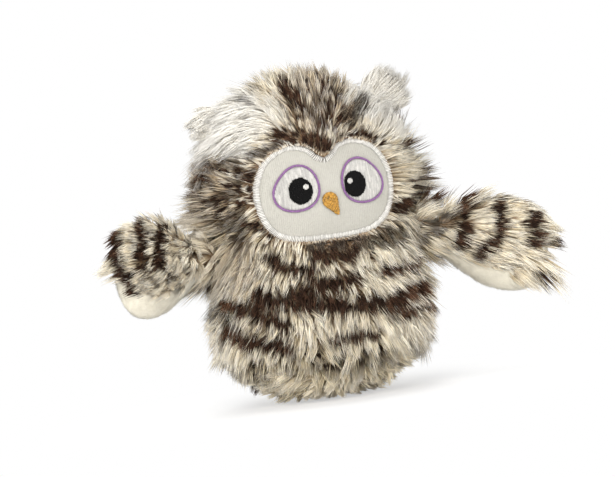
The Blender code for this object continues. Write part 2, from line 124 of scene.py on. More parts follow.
# The random patterns of the coat: the pitch and the seed of each
ASIDE_WAVE, UP_WAVE, MOTTLE_WAVE, FRINGE_WAVE = (0.007, 5), (0.007, 6), (0.007, 17), (0.022, 18)
FLECK_WAVE, TAN_WAVE, WARM_WAVE = (0.009, 15), (0.02, 16), (0.04, 14)
RING_WAVE, BREAK_WAVE, BACK_SMOKE_WAVE = (0.05, 11), (0.03, 12), (0.045, 13)

# Long pile round the shoulders: its middle under the cheeks, its stretch and its reach
SHOULDER_DROP = 0.007
SHOULDER_STRETCH = (0.9, 0.9, 1.3)
SHOULDER_REACH = (0.010, 0.029)

# The wings' pile: distances from the shoulder between which it changes, and how it hangs
WING_SPREAD_REACH = (0.008, 0.024)
WING_ROOT_REACH = (0.012, 0.032)
WING_FLAT_REACH = (0.018, 0.032)
WING_TIP_REACH = (0.046, 0.056)
WING_DROP = 0.18

# Each ear tuft's flow, the share of its height that its backing keeps, and how long its tip's strands are
EARS = {"left": ((0.75, 0.0, 0.66), 0.70, 0.8), "right": ((-1.0, 0.0, -0.45), 0.56, 0.4)}
EAR_PATCH_PLACE, EAR_PATCH_STRETCH = (0.78, 0.0, 0.96), (1.0, 0.6, 1.0)
EAR_PATCH_REACH = (0.014, 0.026)

# Where each group's random draws start
BODY_SEED, WING_SEED, WING_NAP_SEED, WING_ROOT_SEED, EAR_SEED = 100, 200, 230, 260, 300
FELT_SEED, BORDER_SEED, EYE_SEED, BEAK_SEED = 400, 410, 500, 600

# The felt face: its outline as shares of its half width and half height, and its curve
FACE_OUTLINE_SHARES = (
    (0.10, 0.72), (0.21, 0.89), (0.43, 0.97), (0.66, 0.89), (0.86, 0.64), (0.985, 0.22),
    (0.985, -0.22), (0.89, -0.62), (0.69, -0.89), (0.40, -1.0), (0.0, -1.02),
)
FACE_NOTCH_SHARE, FACE_TOP_SHARE, FACE_FOOT_SHARE = 0.63, 0.97, 1.02
FACE_LOW, FACE_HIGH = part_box("face_border")
FACE_HALF_WIDTH = FACE_HIGH.x
FACE_HALF_HEIGHT = (FACE_HIGH.z - FACE_LOW.z) / (FACE_TOP_SHARE + FACE_FOOT_SHARE)
FACE_HEIGHT = FACE_HIGH.z - FACE_TOP_SHARE * FACE_HALF_HEIGHT
FACE_FRONT = -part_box("face_patch")[0].y
FACE_CURVE_RADIUS = 0.075
FACE_POINTS, FACE_FINE_POINTS = 90, 600
FELT_THICKNESS = 0.0016
FELT_CELL = 0.0011
FELT_MARGIN = 1.1
BORDER_HALF_WIDTH = 0.0012
BORDER_PITCH = 0.00082
BORDER_THREAD = 0.0007
BORDER_STITCH_WIDTH = 2.7 * BORDER_HALF_WIDTH
BORDER_LEAN = 0.12
FELT_EDGE = 0.8 * BORDER_HALF_WIDTH
PILE_EDGE = 0.0004
PILE_TUCK = 0.0014

# The embroidery
EYE_LONG_RADIUS = 0.0128
EYE_SHORT_RADIUS = 0.0116
EYE_LEAN = math.radians(45)
EYE_SHIFT = 0.0014
EYE_CORNERS = 0.045
EYE_RING_WIDTH = 0.0013
EYE_RING_PITCH = 0.00058
EYE_RING_LEAN = 0.3
PUPIL_HALF_WIDTH = 0.0061
PUPIL_HALF_HEIGHT = 0.0067
GLINT_RADIUS = 0.0014
BEAK_RADIUS = 0.0041
BEAK_LENGTH = 0.0090
BEAK_DROP = 0.0058
BEAK_LEAN = math.radians(26)
BEAK_TIP_SHARE = 0.2
BEAK_STITCH_TURN = 0.5
BEAK_STITCH_LENGTH = 0.0017
THREAD_WIDTH = 0.00066
STITCH_LENGTH = 0.0034

# Each satin layer's height over the felt, the arch of its stitches and the mean of their tones
BORDER_LAYER = (0.0002, 0.0008, 0.85)
EYE_RING_LAYER = (0.0004, 0.0007, 0.6)
EYE_WHITE_LAYER = (0.0003, 0.00012, 0.25)
PUPIL_LAYER = (0.0009, 0.00012, 0.25)
GLINT_LAYER = (0.0016, 0.00012, 0.25)
BEAK_LAYER = (0.0007, 0.0005, 0.5)

# The photograph's frame and the camera that matches it
PHOTO_WIDTH, PHOTO_HEIGHT = 615, 477
CAMERA_AZIMUTH = math.radians(-15)
CAMERA_ELEVATION = math.radians(1.5)
CAMERA_ROLL = math.radians(8)
CAMERA_DISTANCE = 1.3
PIXEL = 0.00053
CAMERA_FIELD = 2 * math.atan(PHOTO_WIDTH * PIXEL / 2 / CAMERA_DISTANCE)
CAMERA_AIM = Vector((-0.0022, 0.0, 0.0850))
SENSOR_WIDTH = 36.0

# Each lamp's place and size, and the setting and share that make its power
LAMPS = (
    ("key_lamp", (-0.50, -1.15, 0.62), 0.6, "key_power", 1.0),
    ("fill_lamp_left", (-1.2, -0.7, 0.22), 0.9, "fill_power", 1.25),
    ("fill_lamp_right", (0.65, -1.15, 0.14), 0.7, "fill_power", 1.5),
    ("back_lamp", (0.2, 1.2, 0.9), 0.9, "fill_power", 1.0),
    ("top_lamp", (-0.25, -0.25, 1.3), 0.8, "fill_power", 0.7),
)

# Dark bars of the coat as the photograph shows them: half a width and a strength, and a line in its pixels
BARS_PX = (
    (4, 1.0, (258, 229), (270, 231)), (5, 0.9, (233, 229), (240, 246)),
    (5, 1.0, (268, 258), (283, 271), (309, 274)), (6, 1.0, (318, 260), (354, 257)),
    (8, 0.95, (314, 249), (345, 243), (372, 243), (400, 238)),
    (3.5, 1.0, (386, 275), (404, 272), (421, 267)), (7, 1.0, (298, 294), (325, 289), (353, 283)),
    (7.5, 1.0, (259, 302), (300, 308), (333, 310), (362, 309), (397, 303), (425, 290)),
    (3.5, 1.0, (395, 318), (415, 315), (436, 309)), (6, 1.0, (226, 310), (255, 317), (286, 330)),
    (6, 1.0, (226, 337), (250, 346), (286, 352)), (3.5, 1.0, (333, 344), (356, 341), (378, 337)),
    (3, 0.8, (288, 358), (299, 361)), (6, 0.9, (208, 316), (228, 326)), (3, 0.6, (300, 374), (322, 371)),
    (6.5, 1.0, (276, 134), (300, 137), (327, 144)), (3, 0.9, (249, 156), (262, 150), (274, 143)),
    (5, 1.0, (284, 84), (291, 98)), (5, 0.8, (300, 102), (312, 113), (325, 124)),
    (3.5, 0.75, (317, 96), (328, 108)), (3, 0.8, (330, 88), (342, 95)),
    (6.5, 0.95, (350, 118), (361, 101)), (4.5, 1.0, (344, 138), (362, 133), (378, 139)),
    (4, 1.0, (406, 146), (413, 143)), (5, 1.0, (429, 163), (440, 170)), (5, 1.0, (421, 186), (441, 176)),
    (6, 1.0, (400, 208), (420, 201), (436, 195), (455, 189), (476, 190)),
    (5, 0.9, (424, 245), (440, 228), (452, 217)), (5, 0.7, (197, 170), (215, 166), (232, 164)),
    (5, 0.6, (185, 190), (205, 180)), (5, 0.8, (211, 202), (228, 194)), (5, 0.8, (234, 164), (238, 184)),
    (6, 0.8, (223, 226), (238, 218)), (5, 0.7, (211, 236), (217, 248)),
    (4.5, 1.0, (245, 226), (268, 230)), (2, 0.8, (248, 93), (254, 89)),
    (2.5, 0.8, (240, 101), (247, 105)), (6, 1.0, (471, 196), (467, 220), (465, 246)),
    (5, 1.0, (503, 204), (504, 228), (499, 242), (482, 254)), (6.5, 1.0, (537, 218), (538, 240)),
    (1, 0.9, (544, 246), (551, 244)), (4, 1.0, (543, 278), (553, 284)),
    (5.5, 1.0, (111, 230), (111, 250), (115, 270), (127, 286), (137, 303)),
    (5, 1.0, (138, 222), (139, 246), (139, 268)), (4.5, 1.0, (159, 229), (158, 246), (158, 262)),
    (1, 0.7, (112, 290), (124, 300)), (0, 1.0, (165, 253), (178, 258), (186, 264)),
    (1, 1.0, (152, 266), (162, 270), (174, 278)), (0, 0.9, (172, 299), (182, 290), (187, 284)),
    (0, 0.9, (136, 272), (148, 279), (156, 286)), (0, 0.8, (147, 215), (150, 219)),
    (0, 0.8, (162, 214), (171, 217)),
)

# Where the coat is grey-brown, white and without bars: a place in pixels, a radius and a strength
SMOKE_PX = (
    ((318, 105), 38, 1.0), ((222, 190), 40, 1.0), ((235, 268), 28, 0.7), ((562, 246), 10, 1.0),
    ((345, 243), 20, 0.9), ((428, 335), 18, 0.6), ((240, 240), 16, 0.6),
)
SNOW_PX = (
    ((234, 120), 33, 1.0), ((208, 138), 22, 1.0), ((238, 142), 19, 1.0), ((268, 118), 16, 0.8),
    ((380, 92), 34, 1.0), ((394, 120), 20, 0.8),
)
CLEAR_PX = (((202, 262), 28, 1.0), ((188, 234), 16, 1.0))


def screen(red, green, blue):
    """A colour as a screen shows it, as the linear values that shaders take."""
    shares = np.array((red, green, blue)) / 255
    linear = np.where(shares <= 0.04045, shares / 12.92, ((shares + 0.055) / 1.055) ** 2.4)
    return tuple(float(x) for x in linear)


def colour_setting(name, description, *rgb):
    return FloatVectorProperty(
        name=name, description=description, subtype="COLOR", size=3, min=0.0, max=1.0, default=screen(*rgb)
    )


def length_setting(name, description, default):
    return FloatProperty(name=name, description=description, default=default, min=0.0, unit="LENGTH")


def number_setting(name, description, default, least=0.0):
    return FloatProperty(name=name, description=description, default=default, min=least)


class OwlFurSettings(bpy.types.PropertyGroup):
    """Sizes of the pile."""

    body_length: length_setting("Body pile", "Length of the strands on the body", 0.0135)
    wing_length: length_setting("Wing pile", "Length of the strands on the wings", 0.0145)
    ear_length: length_setting("Ear pile", "Length of the strands on the ear tufts", 0.015)
    strand_width: length_setting("Strand width", "Width of a strand at its root", 0.00062)
    lock_width: length_setting("Lock width", "Distance between the locks that strands gather in", 0.0030)
    body_density: number_setting("Body density", "Strands per square millimetre on the body", 2.1, 0.1)
    wing_density: number_setting("Wing density", "Strands per square millimetre on the wings", 3.2, 0.1)
    ear_density: number_setting("Ear density", "Strands per square millimetre on the ears", 3.6, 0.1)
    nap_length: length_setting("Nap", "Length of the short nap on lining and felt", 0.0012)


class OwlColourSettings(bpy.types.PropertyGroup):
    """Colours of the cloths and threads."""

    cream: colour_setting("Cream", "Pale coat", 255, 243, 215)
    tan: colour_setting("Tan", "Coat of the base", 255, 237, 198)
    smoke: colour_setting("Smoke", "Grey-brown coat", 150, 123, 96)
    dark: colour_setting("Dark", "Bars of the coat", 37, 24, 16)
    # Painted shade: the colour that strands darken to towards their roots, which the backing also mixes in.
    root: colour_setting("Root", "Shade near the roots", 118, 89, 60)
    snow: colour_setting("Snow", "Ear tufts", 230, 225, 213)
    lining: colour_setting("Lining", "Smooth side of the wings", 214, 208, 192)
    felt: colour_setting("Felt", "Face patch", 169, 166, 157)
    white: colour_setting("White", "White satin thread", 200, 197, 191)
    lilac: colour_setting("Lilac", "Thread of the eye rings", 128, 88, 136)
    black: colour_setting("Black", "Thread of the pupils", 11, 10, 10)
    gold: colour_setting("Gold", "Thread of the beak", 178, 132, 48)
    filling: colour_setting("Filling", "Polyester fibre", 238, 238, 236)


class OwlStageSettings(bpy.types.PropertyGroup):
    """Floor and lamps."""

    floor: colour_setting("Floor", "Floor and backdrop", 250, 250, 250)
    key_power: number_setting("Key lamp", "Power of the lamp in front", 11.3)
    fill_power: number_setting("Fill lamps", "Power of the other lamps", 7.2)
    sky: number_setting("Sky", "Strength of the light from all round", 0.55)


def settings():
    scene = bpy.context.scene
    return SimpleNamespace(fur=scene.owl_fur, colours=scene.owl_colours, stage=scene.owl_stage)


# Small mathematics for many points at once

def columns(*values):
    """Values side by side, as the coordinates of points. A single number goes for all."""
    return np.stack(np.broadcast_arrays(*values), axis=-1)


def unit(vectors):
    return vectors / np.maximum(np.linalg.norm(vectors, axis=-1, keepdims=True), 1e-9)


def smooth(values, low, high):
    """0 below low, 1 above high, and an even slope between."""
    share = np.clip((values - low) / (high - low), 0.0, 1.0)
    return share * share * (3 - 2 * share)


def fade(values, low, high):
    """1 below low, 0 above high, and an even slope between."""
    return 1 - smooth(values, low, high)


def mixed(first, second, share):
    """The first where the share is 0, and the second where it is 1."""
    return first * (1 - share) + second * share


def wander(points, pitch, seed):
    """A value near -1 to 1 that changes gently over about one pitch."""
    draw = np.random.default_rng(seed)
    waves = unit(draw.normal(size=(7, 3))) * draw.uniform(0.6, 1.5, size=(7, 1))
    phases = draw.uniform(0, 2 * math.pi, 7)
    return np.sin(points @ waves.T * (2 * math.pi / pitch) + phases).sum(axis=1) / 2.6


def across(vectors, normals):
    """The part of each vector that lies along its surface, at unit length."""
    return unit(vectors - (vectors * normals).sum(axis=-1, keepdims=True) * normals)


def turned(vectors, axes, angles):
    """Vectors that lie square to their axes, turned about them."""
    return vectors * np.cos(angles)[:, None] + np.cross(axes, vectors) * np.sin(angles)[:, None]


def smooth_line(points, steps, after):
    """Points along a smooth curve through the given ones, with some steps between each two."""
    points = [np.array(p, float) for p in points]
    row = [2 * points[0] - points[1], *points, np.array(after, float)]
    found = []
    for a, b, c, d in zip(row, row[1:], row[2:], row[3:]):
        slope, bend, twist = c - a, 2 * a - 5 * b + 4 * c - d, 3 * b - a - 3 * c + d
        for t in np.arange(steps) / steps:
            found.append(b + (slope * t + bend * t**2 + twist * t**3) / 2)
    return [*found, points[-1]]


def evenly_spaced(line, count):
    """A closed line again, with its points spread evenly along it."""
    line = np.array([*line, line[0]])
    along = np.concatenate([[0.0], np.cumsum(np.linalg.norm(np.diff(line, axis=0), axis=1))])
    places = np.linspace(0.0, along[-1], count, endpoint=False)
    return columns(*(np.interp(places, along, values) for values in line.T))


def line_length(line):
    return float(np.linalg.norm(np.roll(line, -1, axis=0) - line, axis=1).sum())


def left_of(line):
    """Unit vectors that point to the left of a closed line."""
    ahead = unit(np.roll(line, -1, axis=0) - np.roll(line, 1, axis=0))
    return columns(-ahead[:, 1], ahead[:, 0])


def distance_to_line(places, line):
    """The least distance from each place to an open line of points."""
    line = np.array(line, float)
    least = np.full(len(places), np.inf)
    for a, b in zip(line, line[1:]):
        share = np.clip(((places - a) @ (b - a)) / max((b - a) @ (b - a), 1e-12), 0, 1)
        least = np.minimum(least, np.linalg.norm(places - a - share[:, None] * (b - a), axis=1))
    return least


def inside(places, line):
    """Whether each place lies inside a closed line."""
    found = np.zeros(len(places), bool)
    x, z = places.T
    for a, b in zip(line, np.roll(line, -1, axis=0)):
        crosses = (a[1] > z) != (b[1] > z)
        rise = b[1] - a[1] if abs(b[1] - a[1]) > 1e-12 else 1e-12
        found ^= crosses & (x < a[0] + (z - a[1]) / rise * (b[0] - a[0]))
    return found


# Shapes that are repeated, and the meshes made of them

class Unit:
    """A small closed shape along +Z, made to be repeated along paths."""

    def __init__(self, places, widths, sides):
        shape = bmesh.new()
        bmesh.ops.create_circle(shape, cap_ends=True, segments=sides, radius=widths[0])
        edges, last = shape.edges[:], widths[0]
        for place, width in zip(places[1:], np.maximum(widths[1:], WELD)):
            grown = bmesh.ops.extrude_edge_only(shape, edges=edges)["geom"]
            edges = [g for g in grown if isinstance(g, bmesh.types.BMEdge)]
            ring = [g for g in grown if isinstance(g, bmesh.types.BMVert)]
            bmesh.ops.scale(shape, verts=ring, vec=(width / last, width / last, 1.0))
            bmesh.ops.translate(shape, verts=ring, vec=(0.0, 0.0, place - ring[0].co.z))
            last = width
        bmesh.ops.pointmerge(shape, verts=ring, merge_co=(0.0, 0.0, places[-1]))
        bmesh.ops.recalc_face_normals(shape, faces=shape.faces)
        mesh = to_mesh(shape, "unit")
        self.points = np.array([v.co for v in mesh.vertices])
        self.places = np.array(places)
        self.spread = np.maximum(np.linalg.norm(self.points[:, :2], axis=1), WELD)
        self.ring = np.abs(self.points[:, 2:] - self.places).argmin(axis=1)
        self.corners = np.array([corner.vertex_index for corner in mesh.loops])
        self.starts = np.array([face.loop_start for face in mesh.polygons])
        self.bake_map = self.corner_map(mesh)
        bpy.data.meshes.remove(mesh)

    def corner_map(self, mesh):
        """Each corner's place along the shape, and whether it is on its face's left or right."""
        found = np.zeros((len(mesh.loops), 2))
        for face in mesh.polygons:
            middle = np.array(face.center)
            side = np.cross((0.0, 0.0, 1.0), middle)[:2]
            flat = len(set(self.ring[list(face.vertices)])) == 1
            for k, corner in enumerate(face.loop_indices):
                point = self.points[mesh.loops[corner].vertex_index]
                tip = np.hypot(*point[:2]) < WELD
                right = 0.5 if tip else float((point[:2] - middle[:2]) @ side > 0)
                found[corner] = (0.04 * (k % 2), k / len(face.vertices)) if flat else (point[2], right)
        return found


def to_mesh(shape, name):
    mesh = bpy.data.meshes.new(name)
    shape.to_mesh(mesh)
    shape.free()
    mesh.shade_smooth()
    return mesh


STRAND = Unit((0.0, 0.5, 1.0), (1.0, 0.78, 0.0), 3)
LONG_STRAND = Unit((0.0, 0.33, 0.68, 1.0), (1.0, 0.95, 0.66, 0.0), 3)
NAP_FIBRE = Unit((0.0, 1.0), (1.0, 0.0), 3)
STITCH = Unit((0.0, 0.08, 0.36, 0.64, 0.92, 1.0), (0.3, 0.82, 1.0, 1.0, 0.82, 0.0), 6)


def many(name, shape, paths, sides, ups, widths, strand, coat=None, outward=None):
    """One mesh of a shape repeated along many paths, which have a point for each ring of each copy. strand
    holds each copy's tone and whiteness, and coat how dark it is low and high, and its hue. outward turns
    the shading towards those directions, as light passes between fine fibres."""
    copies, points, corners = len(paths), len(shape.points), len(shape.corners)
    flat = shape.points[:, 0:1] * sides[:, None] + shape.points[:, 1:2] * ups[:, None]
    places = paths[:, shape.ring] + flat * widths[:, None, None] / 2

    def repeated(numbers, step):
        return (numbers + step * np.arange(copies)[:, None]).astype(np.int32).ravel()

    mesh = bpy.data.meshes.new(name)
    mesh.vertices.add(copies * points)
    mesh.vertices.foreach_set("co", places.astype(np.float32).ravel())
    mesh.loops.add(copies * corners)
    mesh.loops.foreach_set("vertex_index", repeated(shape.corners, points))
    mesh.polygons.add(copies * len(shape.starts))
    mesh.polygons.foreach_set("loop_start", repeated(shape.starts, corners))
    mesh.update(calc_edges=True)
    mesh.shade_smooth()
    if outward is not None:
        round_off = flat / shape.spread[:, None] * (1 - FUR_LEAN)
        write_vectors(mesh, "custom_normal", unit(round_off + outward[:, None] * FUR_LEAN))
    write_vectors(mesh, "strand", columns(shape.points[:, 2], strand[:, :1], strand[:, 1:]))
    if coat is not None:
        write_vectors(mesh, "coat", np.repeat(coat, points, axis=0))
    write_bake_map(mesh, shape, strand, coat)
    return mesh


def write_vectors(mesh, name, values):
    attribute = mesh.attributes.new(name, "FLOAT_VECTOR", "POINT")
    attribute.data.foreach_set("vector", values.astype(np.float32).ravel())


def write_bake_map(mesh, shape, strand, coat):
    """Copies of one colour share a cell of the baked picture, along it from root to tip."""
    levels = [(strand[:, 0], 8), (strand[:, 1], 2)]
    if coat is not None:
        levels += [(coat[:, 0], 4), (coat[:, 1], 4), ((coat[:, 2] + 1) / 2, 6)]
    cell = np.zeros(len(strand), int)
    for values, steps in levels:
        cell = cell * steps + np.clip((values * steps).astype(int), 0, steps - 1)
    used, cell = np.unique(cell, return_inverse=True)
    across_map = max(1, round(math.sqrt(len(used) / 8)))
    up_map = math.ceil(len(used) / across_map)
    corner = columns(cell % across_map, cell // across_map)[:, None] + 0.1 + 0.8 * shape.bake_map
    layer = mesh.uv_layers.new(name="OFBake")
    layer.uv.foreach_set("vector", (corner / (across_map, up_map)).astype(np.float32).ravel())


def shown(name, data):
    """A new object of some data, in the scene."""
    made = bpy.data.objects.new(name, data)
    bpy.context.scene.collection.objects.link(made)
    return made


def piece(mesh, body, slot, *nodes, finish=None):
    """A finished piece: it rides on a body, takes a finish and stands for some nodes."""
    made = shown(mesh.name, mesh)
    mesh.materials.append(material(finish or slot))
    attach(made, body)
    if nodes:
        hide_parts(*nodes)
    return made


# Materials

class Nodes:
    """Adds nodes to a material or to the world."""

    def __init__(self, owner):
        owner.use_nodes = True
        self.owner = owner
        self.tree = owner.node_tree

    def feed(self, socket, value):
        """Gives a socket another node's output, a number, a vector or a colour."""
        if isinstance(value, bpy.types.NodeSocket):
            self.tree.links.new(value, socket)
        else:
            socket.default_value = (*value, 1.0) if socket.type == "RGBA" else value

    def node(self, kind, inputs, **values):
        made = self.tree.nodes.new(kind)
        for name, value in values.items():
            setattr(made, name, value)
        for name, value in inputs.items():
            self.feed(made.inputs[name], value)
        return made

    def between(self, value, low, high, start=0.0, end=1.0, kind="SMOOTHSTEP"):
        """A value's range, mapped to another."""
        inputs = {"Value": value, "From Min": low, "From Max": high, "To Min": start, "To Max": end}
        return self.node("ShaderNodeMapRange", inputs, interpolation_type=kind).outputs["Result"]

    def seen_by_camera(self):
        return self.node("ShaderNodeLightPath", {}).outputs["Is Camera Ray"]


class Painter(Nodes):
    """Builds one material's nodes."""

    def __init__(self, name, **uniform):
        super().__init__(bpy.data.materials.new(name))
        self.shader = self.tree.nodes["Principled BSDF"]
        for socket, value in uniform.items():
            self.feed(self.shader.inputs[socket.replace("_", " ")], value)

    def attribute(self, name):
        """The three values of a stored vector."""
        stored = self.node("ShaderNodeAttribute", {}, attribute_name=name).outputs["Vector"]
        return self.node("ShaderNodeSeparateXYZ", {0: stored}).outputs

    def places(self, scale=(1.0, 1.0, 1.0)):
        """Object coordinates, stretched."""
        plain = self.node("ShaderNodeTexCoord", {}).outputs["Object"]
        return self.node("ShaderNodeMapping", {"Vector": plain, "Scale": scale}).outputs["Vector"]

    def noise(self, scale, detail=3.0, stretch=(1.0, 1.0, 1.0)):
        inputs = {"Scale": scale, "Detail": detail, "Vector": self.places(stretch)}
        return self.node("ShaderNodeTexNoise", inputs).outputs["Fac"]

    def between_two(self, factor, first, second):
        """A value that goes from the first to the second."""
        return self.node("ShaderNodeMix", {0: factor, 2: first, 3: second}, data_type="FLOAT").outputs[0]

    def math(self, operation, first, second):
        return self.node("ShaderNodeMath", {0: first, 1: second}, operation=operation).outputs[0]

    def mix(self, factor, first, second, blend="MIX"):
        """A colour that goes from the first to the second."""
        inputs = {0: factor, 6: first, 7: second}
        return self.node("ShaderNodeMix", inputs, data_type="RGBA", blend_type=blend).outputs[2]

    def shaded(self, colour, value):
        """A colour, made lighter or darker by a value around 1."""
        grey = self.node("ShaderNodeCombineColor", {0: value, 1: value, 2: value}).outputs[0]
        return self.mix(1.0, colour, grey, "MULTIPLY")

    def mottled(self, colour, noise, darkest, lightest, kind="SMOOTHSTEP"):
        """A colour, shaded by a noise."""
        return self.shaded(colour, self.between(noise, 0.3, 0.7, darkest, lightest, kind))

    def bump(self, height, strength, distance):
        inputs = {"Strength": strength, "Distance": distance, "Height": height}
        self.feed(self.shader.inputs["Normal"], self.node("ShaderNodeBump", inputs).outputs["Normal"])

    def finish(self, colour):
        self.feed(self.shader.inputs["Base Color"], colour)


def fur_material(name, colours):
    """Long pile: a coat of cream, tan, smoke or snow, painted shade of brown towards the roots, and dark
    bars.
    The hue is 1 for smoke and -1 for tan."""
    paint = Painter(name, Roughness=0.65, Specular_IOR_Level=0.10, Subsurface_Weight=0.6,
                    Subsurface_Scale=0.0012, Subsurface_Radius=(1.0, 1.0, 1.0))
    low_bar, high_bar, hue = paint.attribute("coat")
    along, tone, snow = paint.attribute("strand")
    coat = paint.mix(paint.between(hue, 0.0, -1.0, kind="LINEAR"), colours.cream, colours.tan)
    coat = paint.mix(paint.between(hue, 0.0, 1.0, kind="LINEAR"), coat, colours.smoke)
    coat = paint.mix(snow, coat, colours.snow)
    # Painted shade: the coat darkens to the root colour towards each strand's root, much less on white
    # strands and less on tan ones.
    depth = paint.between(along, 0.02, 0.62, 1.0, 0.0)
    depth = paint.math("MULTIPLY", depth, paint.between(snow, 0.0, 1.0, 0.9, 0.05))
    depth = paint.math("MULTIPLY", depth, paint.between(hue, -1.0, 0.0, 0.25, 1.0))
    coat = paint.mix(depth, coat, colours.root)
    bar = paint.between_two(paint.between(along, 0.45, 0.75), low_bar, high_bar)
    coat = paint.mix(paint.math("MULTIPLY", bar, paint.between(along, 0.08, 0.30)), coat, colours.dark)
    shade = paint.mix(paint.between(tone, 0.0, 1.0, kind="LINEAR"), DEEP_SHADE, LIGHT_SHADE)
    coat = paint.mix(1.0, coat, shade, "MULTIPLY")
    paint.finish(paint.mottled(coat, paint.noise(420.0), 0.97, 1.10, "LINEAR"))


def backing_material(name, colours):
    """The knitted backing and the dense shade at the foot of the pile."""
    paint = Painter(name, Roughness=0.95, Specular_IOR_Level=0.1)
    knit = paint.noise(900.0, 2.0, (1.0, 1.0, 0.35))
    paint.bump(knit, 0.5, 0.0004)
    # Painted shade: the backing mixes the root shade colour with smoke and is darkened to 0.4 to 0.65 of
    # that, as the shade at the pile's foot.
    coat = paint.mix(paint.between(knit, 0.2, 0.55), colours.root, colours.smoke)
    paint.finish(paint.mottled(coat, paint.noise(60.0), 0.4, 0.65))


def snow_backing_material(name, colours):
    """The white cloth under the long white pile."""
    paint = Painter(name, Roughness=0.9, Specular_IOR_Level=0.1)
    knit = paint.noise(900.0, 2.0)
    paint.bump(knit, 0.4, 0.0003)
    paint.finish(paint.mottled(paint.mix(0.2, colours.snow, colours.cream), knit, 0.72, 0.86))


def plush_material(name, colours):
    """Smooth short-pile lining: soft shading with faint brushed patches."""
    paint = Painter(name, Roughness=0.85, Specular_IOR_Level=0.15, Sheen_Weight=0.35, Sheen_Roughness=0.4)
    fine = paint.noise(1600.0, 2.0)
    paint.bump(fine, 0.35, 0.0003)
    brushed = paint.mottled(colours.lining, paint.noise(70.0, 4.0), 0.93, 1.05)
    paint.finish(paint.mottled(brushed, fine, 0.95, 1.03))


def felt_material(name, colours):
    """Brushed felt with a faint upright rib."""
    paint = Painter(name, Roughness=0.9, Specular_IOR_Level=0.12, Sheen_Weight=0.3, Sheen_Roughness=0.5)
    inputs = {"Scale": 310.0, "Distortion": 1.2, "Vector": paint.places()}
    rib = paint.node("ShaderNodeTexWave", inputs, bands_direction="X").outputs["Fac"]
    fluff = paint.noise(1500.0, 3.0, (1.0, 1.0, 0.5))
    paint.bump(paint.math("ADD", rib, fluff), 0.3, 0.00018)
    ribbed = paint.shaded(colours.felt, paint.between(rib, 0.0, 1.0, 0.965, 1.02))
    paint.finish(paint.mottled(ribbed, fluff, 0.95, 1.03))


def fibre_material(name, colours):
    """Loose white polyester fibre."""
    paint = Painter(name, Roughness=0.9, Specular_IOR_Level=0.2)
    wisps = paint.noise(260.0, 6.0, (1.0, 1.0, 3.0))
    paint.bump(wisps, 0.8, 0.001)
    paint.finish(paint.mottled(colours.filling, wisps, 0.85, 1.0))


def satin_material(name, colour, range_of_tones, **uniform):
    """Satin thread: each stitch has its own tone, and fine twisted filaments."""
    paint = Painter(name, **uniform)
    along, tone, _ = paint.attribute("strand")
    twist = paint.noise(2600.0, 2.0)
    paint.bump(twist, 0.35, 0.00012)
    darkest, lightest = 1 - range_of_tones, 1 + range_of_tones / 2
    coat = paint.shaded(colour, paint.between(tone, 0.0, 1.0, darkest, lightest, "LINEAR"))
    coat = paint.mottled(coat, twist, 0.9, 1.05)
    # Painted shade: each stitch is a little darker at its starting end, where it dips into the cloth.
    paint.finish(paint.shaded(coat, paint.between(along, 0.0, 0.10, 0.90, 1.0)))


CLOTHS = {
    "barred_fur": fur_material, "fur_backing": backing_material, "snow_backing": snow_backing_material,
    "smooth_plush": plush_material, "face_felt": felt_material, "fibre_fill": fibre_material,
}

# Each satin thread's colour, its range of tones and its shader's values
SATINS = {
    "white_satin": ("white", 0.35, {"Roughness": 0.45, "Specular_IOR_Level": 0.3, "Sheen_Weight": 0.1}),
    "lilac_satin": ("lilac", 0.2, {"Roughness": 0.42, "Specular_IOR_Level": 0.45, "Sheen_Weight": 0.1}),
    "black_satin": ("black", 0.2, {"Roughness": 0.6, "Specular_IOR_Level": 0.1}),
    "gold_satin": ("gold", 0.75, {"Roughness": 0.36, "Specular_IOR_Level": 0.6, "Metallic": 0.25}),
}


def material(finish):
    """A finish's material, made once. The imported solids' own materials have the plain names."""
    name = "owl_" + finish
    if name not in bpy.data.materials:
        colours = settings().colours
        if finish in CLOTHS:
            CLOTHS[finish](name, colours)
        else:
            colour, range_of_tones, uniform = SATINS[finish]
            satin_material(name, getattr(colours, colour), range_of_tones, **uniform)
    return bpy.data.materials[name]


# Where the photograph sees a point, and what the coat looks like there

def camera_axes():
    """The camera's right, up and forward directions."""
    cos = math.cos(CAMERA_ELEVATION)
    forward = -Vector((math.sin(CAMERA_AZIMUTH) * cos, -math.cos(CAMERA_AZIMUTH) * cos,
                       math.sin(CAMERA_ELEVATION)))
    right = forward.cross(Vector((math.sin(CAMERA_ROLL), 0.0, math.cos(CAMERA_ROLL)))).normalized()
    return right, right.cross(forward), forward


def camera_place():
    return CAMERA_AIM - camera_axes()[2] * CAMERA_DISTANCE


def photo_place(points):
    """Each point's pixel in the photograph."""
    right, up, forward = (np.array(axis) for axis in camera_axes())
    away = points - np.array(camera_place())
    focal = PHOTO_WIDTH / 2 / math.tan(CAMERA_FIELD / 2) / (away @ forward)
    return columns(PHOTO_WIDTH / 2 + away @ right * focal, PHOTO_HEIGHT / 2 - away @ up * focal)


def spots(places, table, soft):
    """The strongest of some soft round spots at each place."""
    found = np.zeros(len(places))
    for centre, radius, strength in table:
        away = np.linalg.norm(places - centre, axis=1)
        found = np.maximum(found, strength * fade(away, radius * (1 - soft), radius * (1 + soft)))
    return found


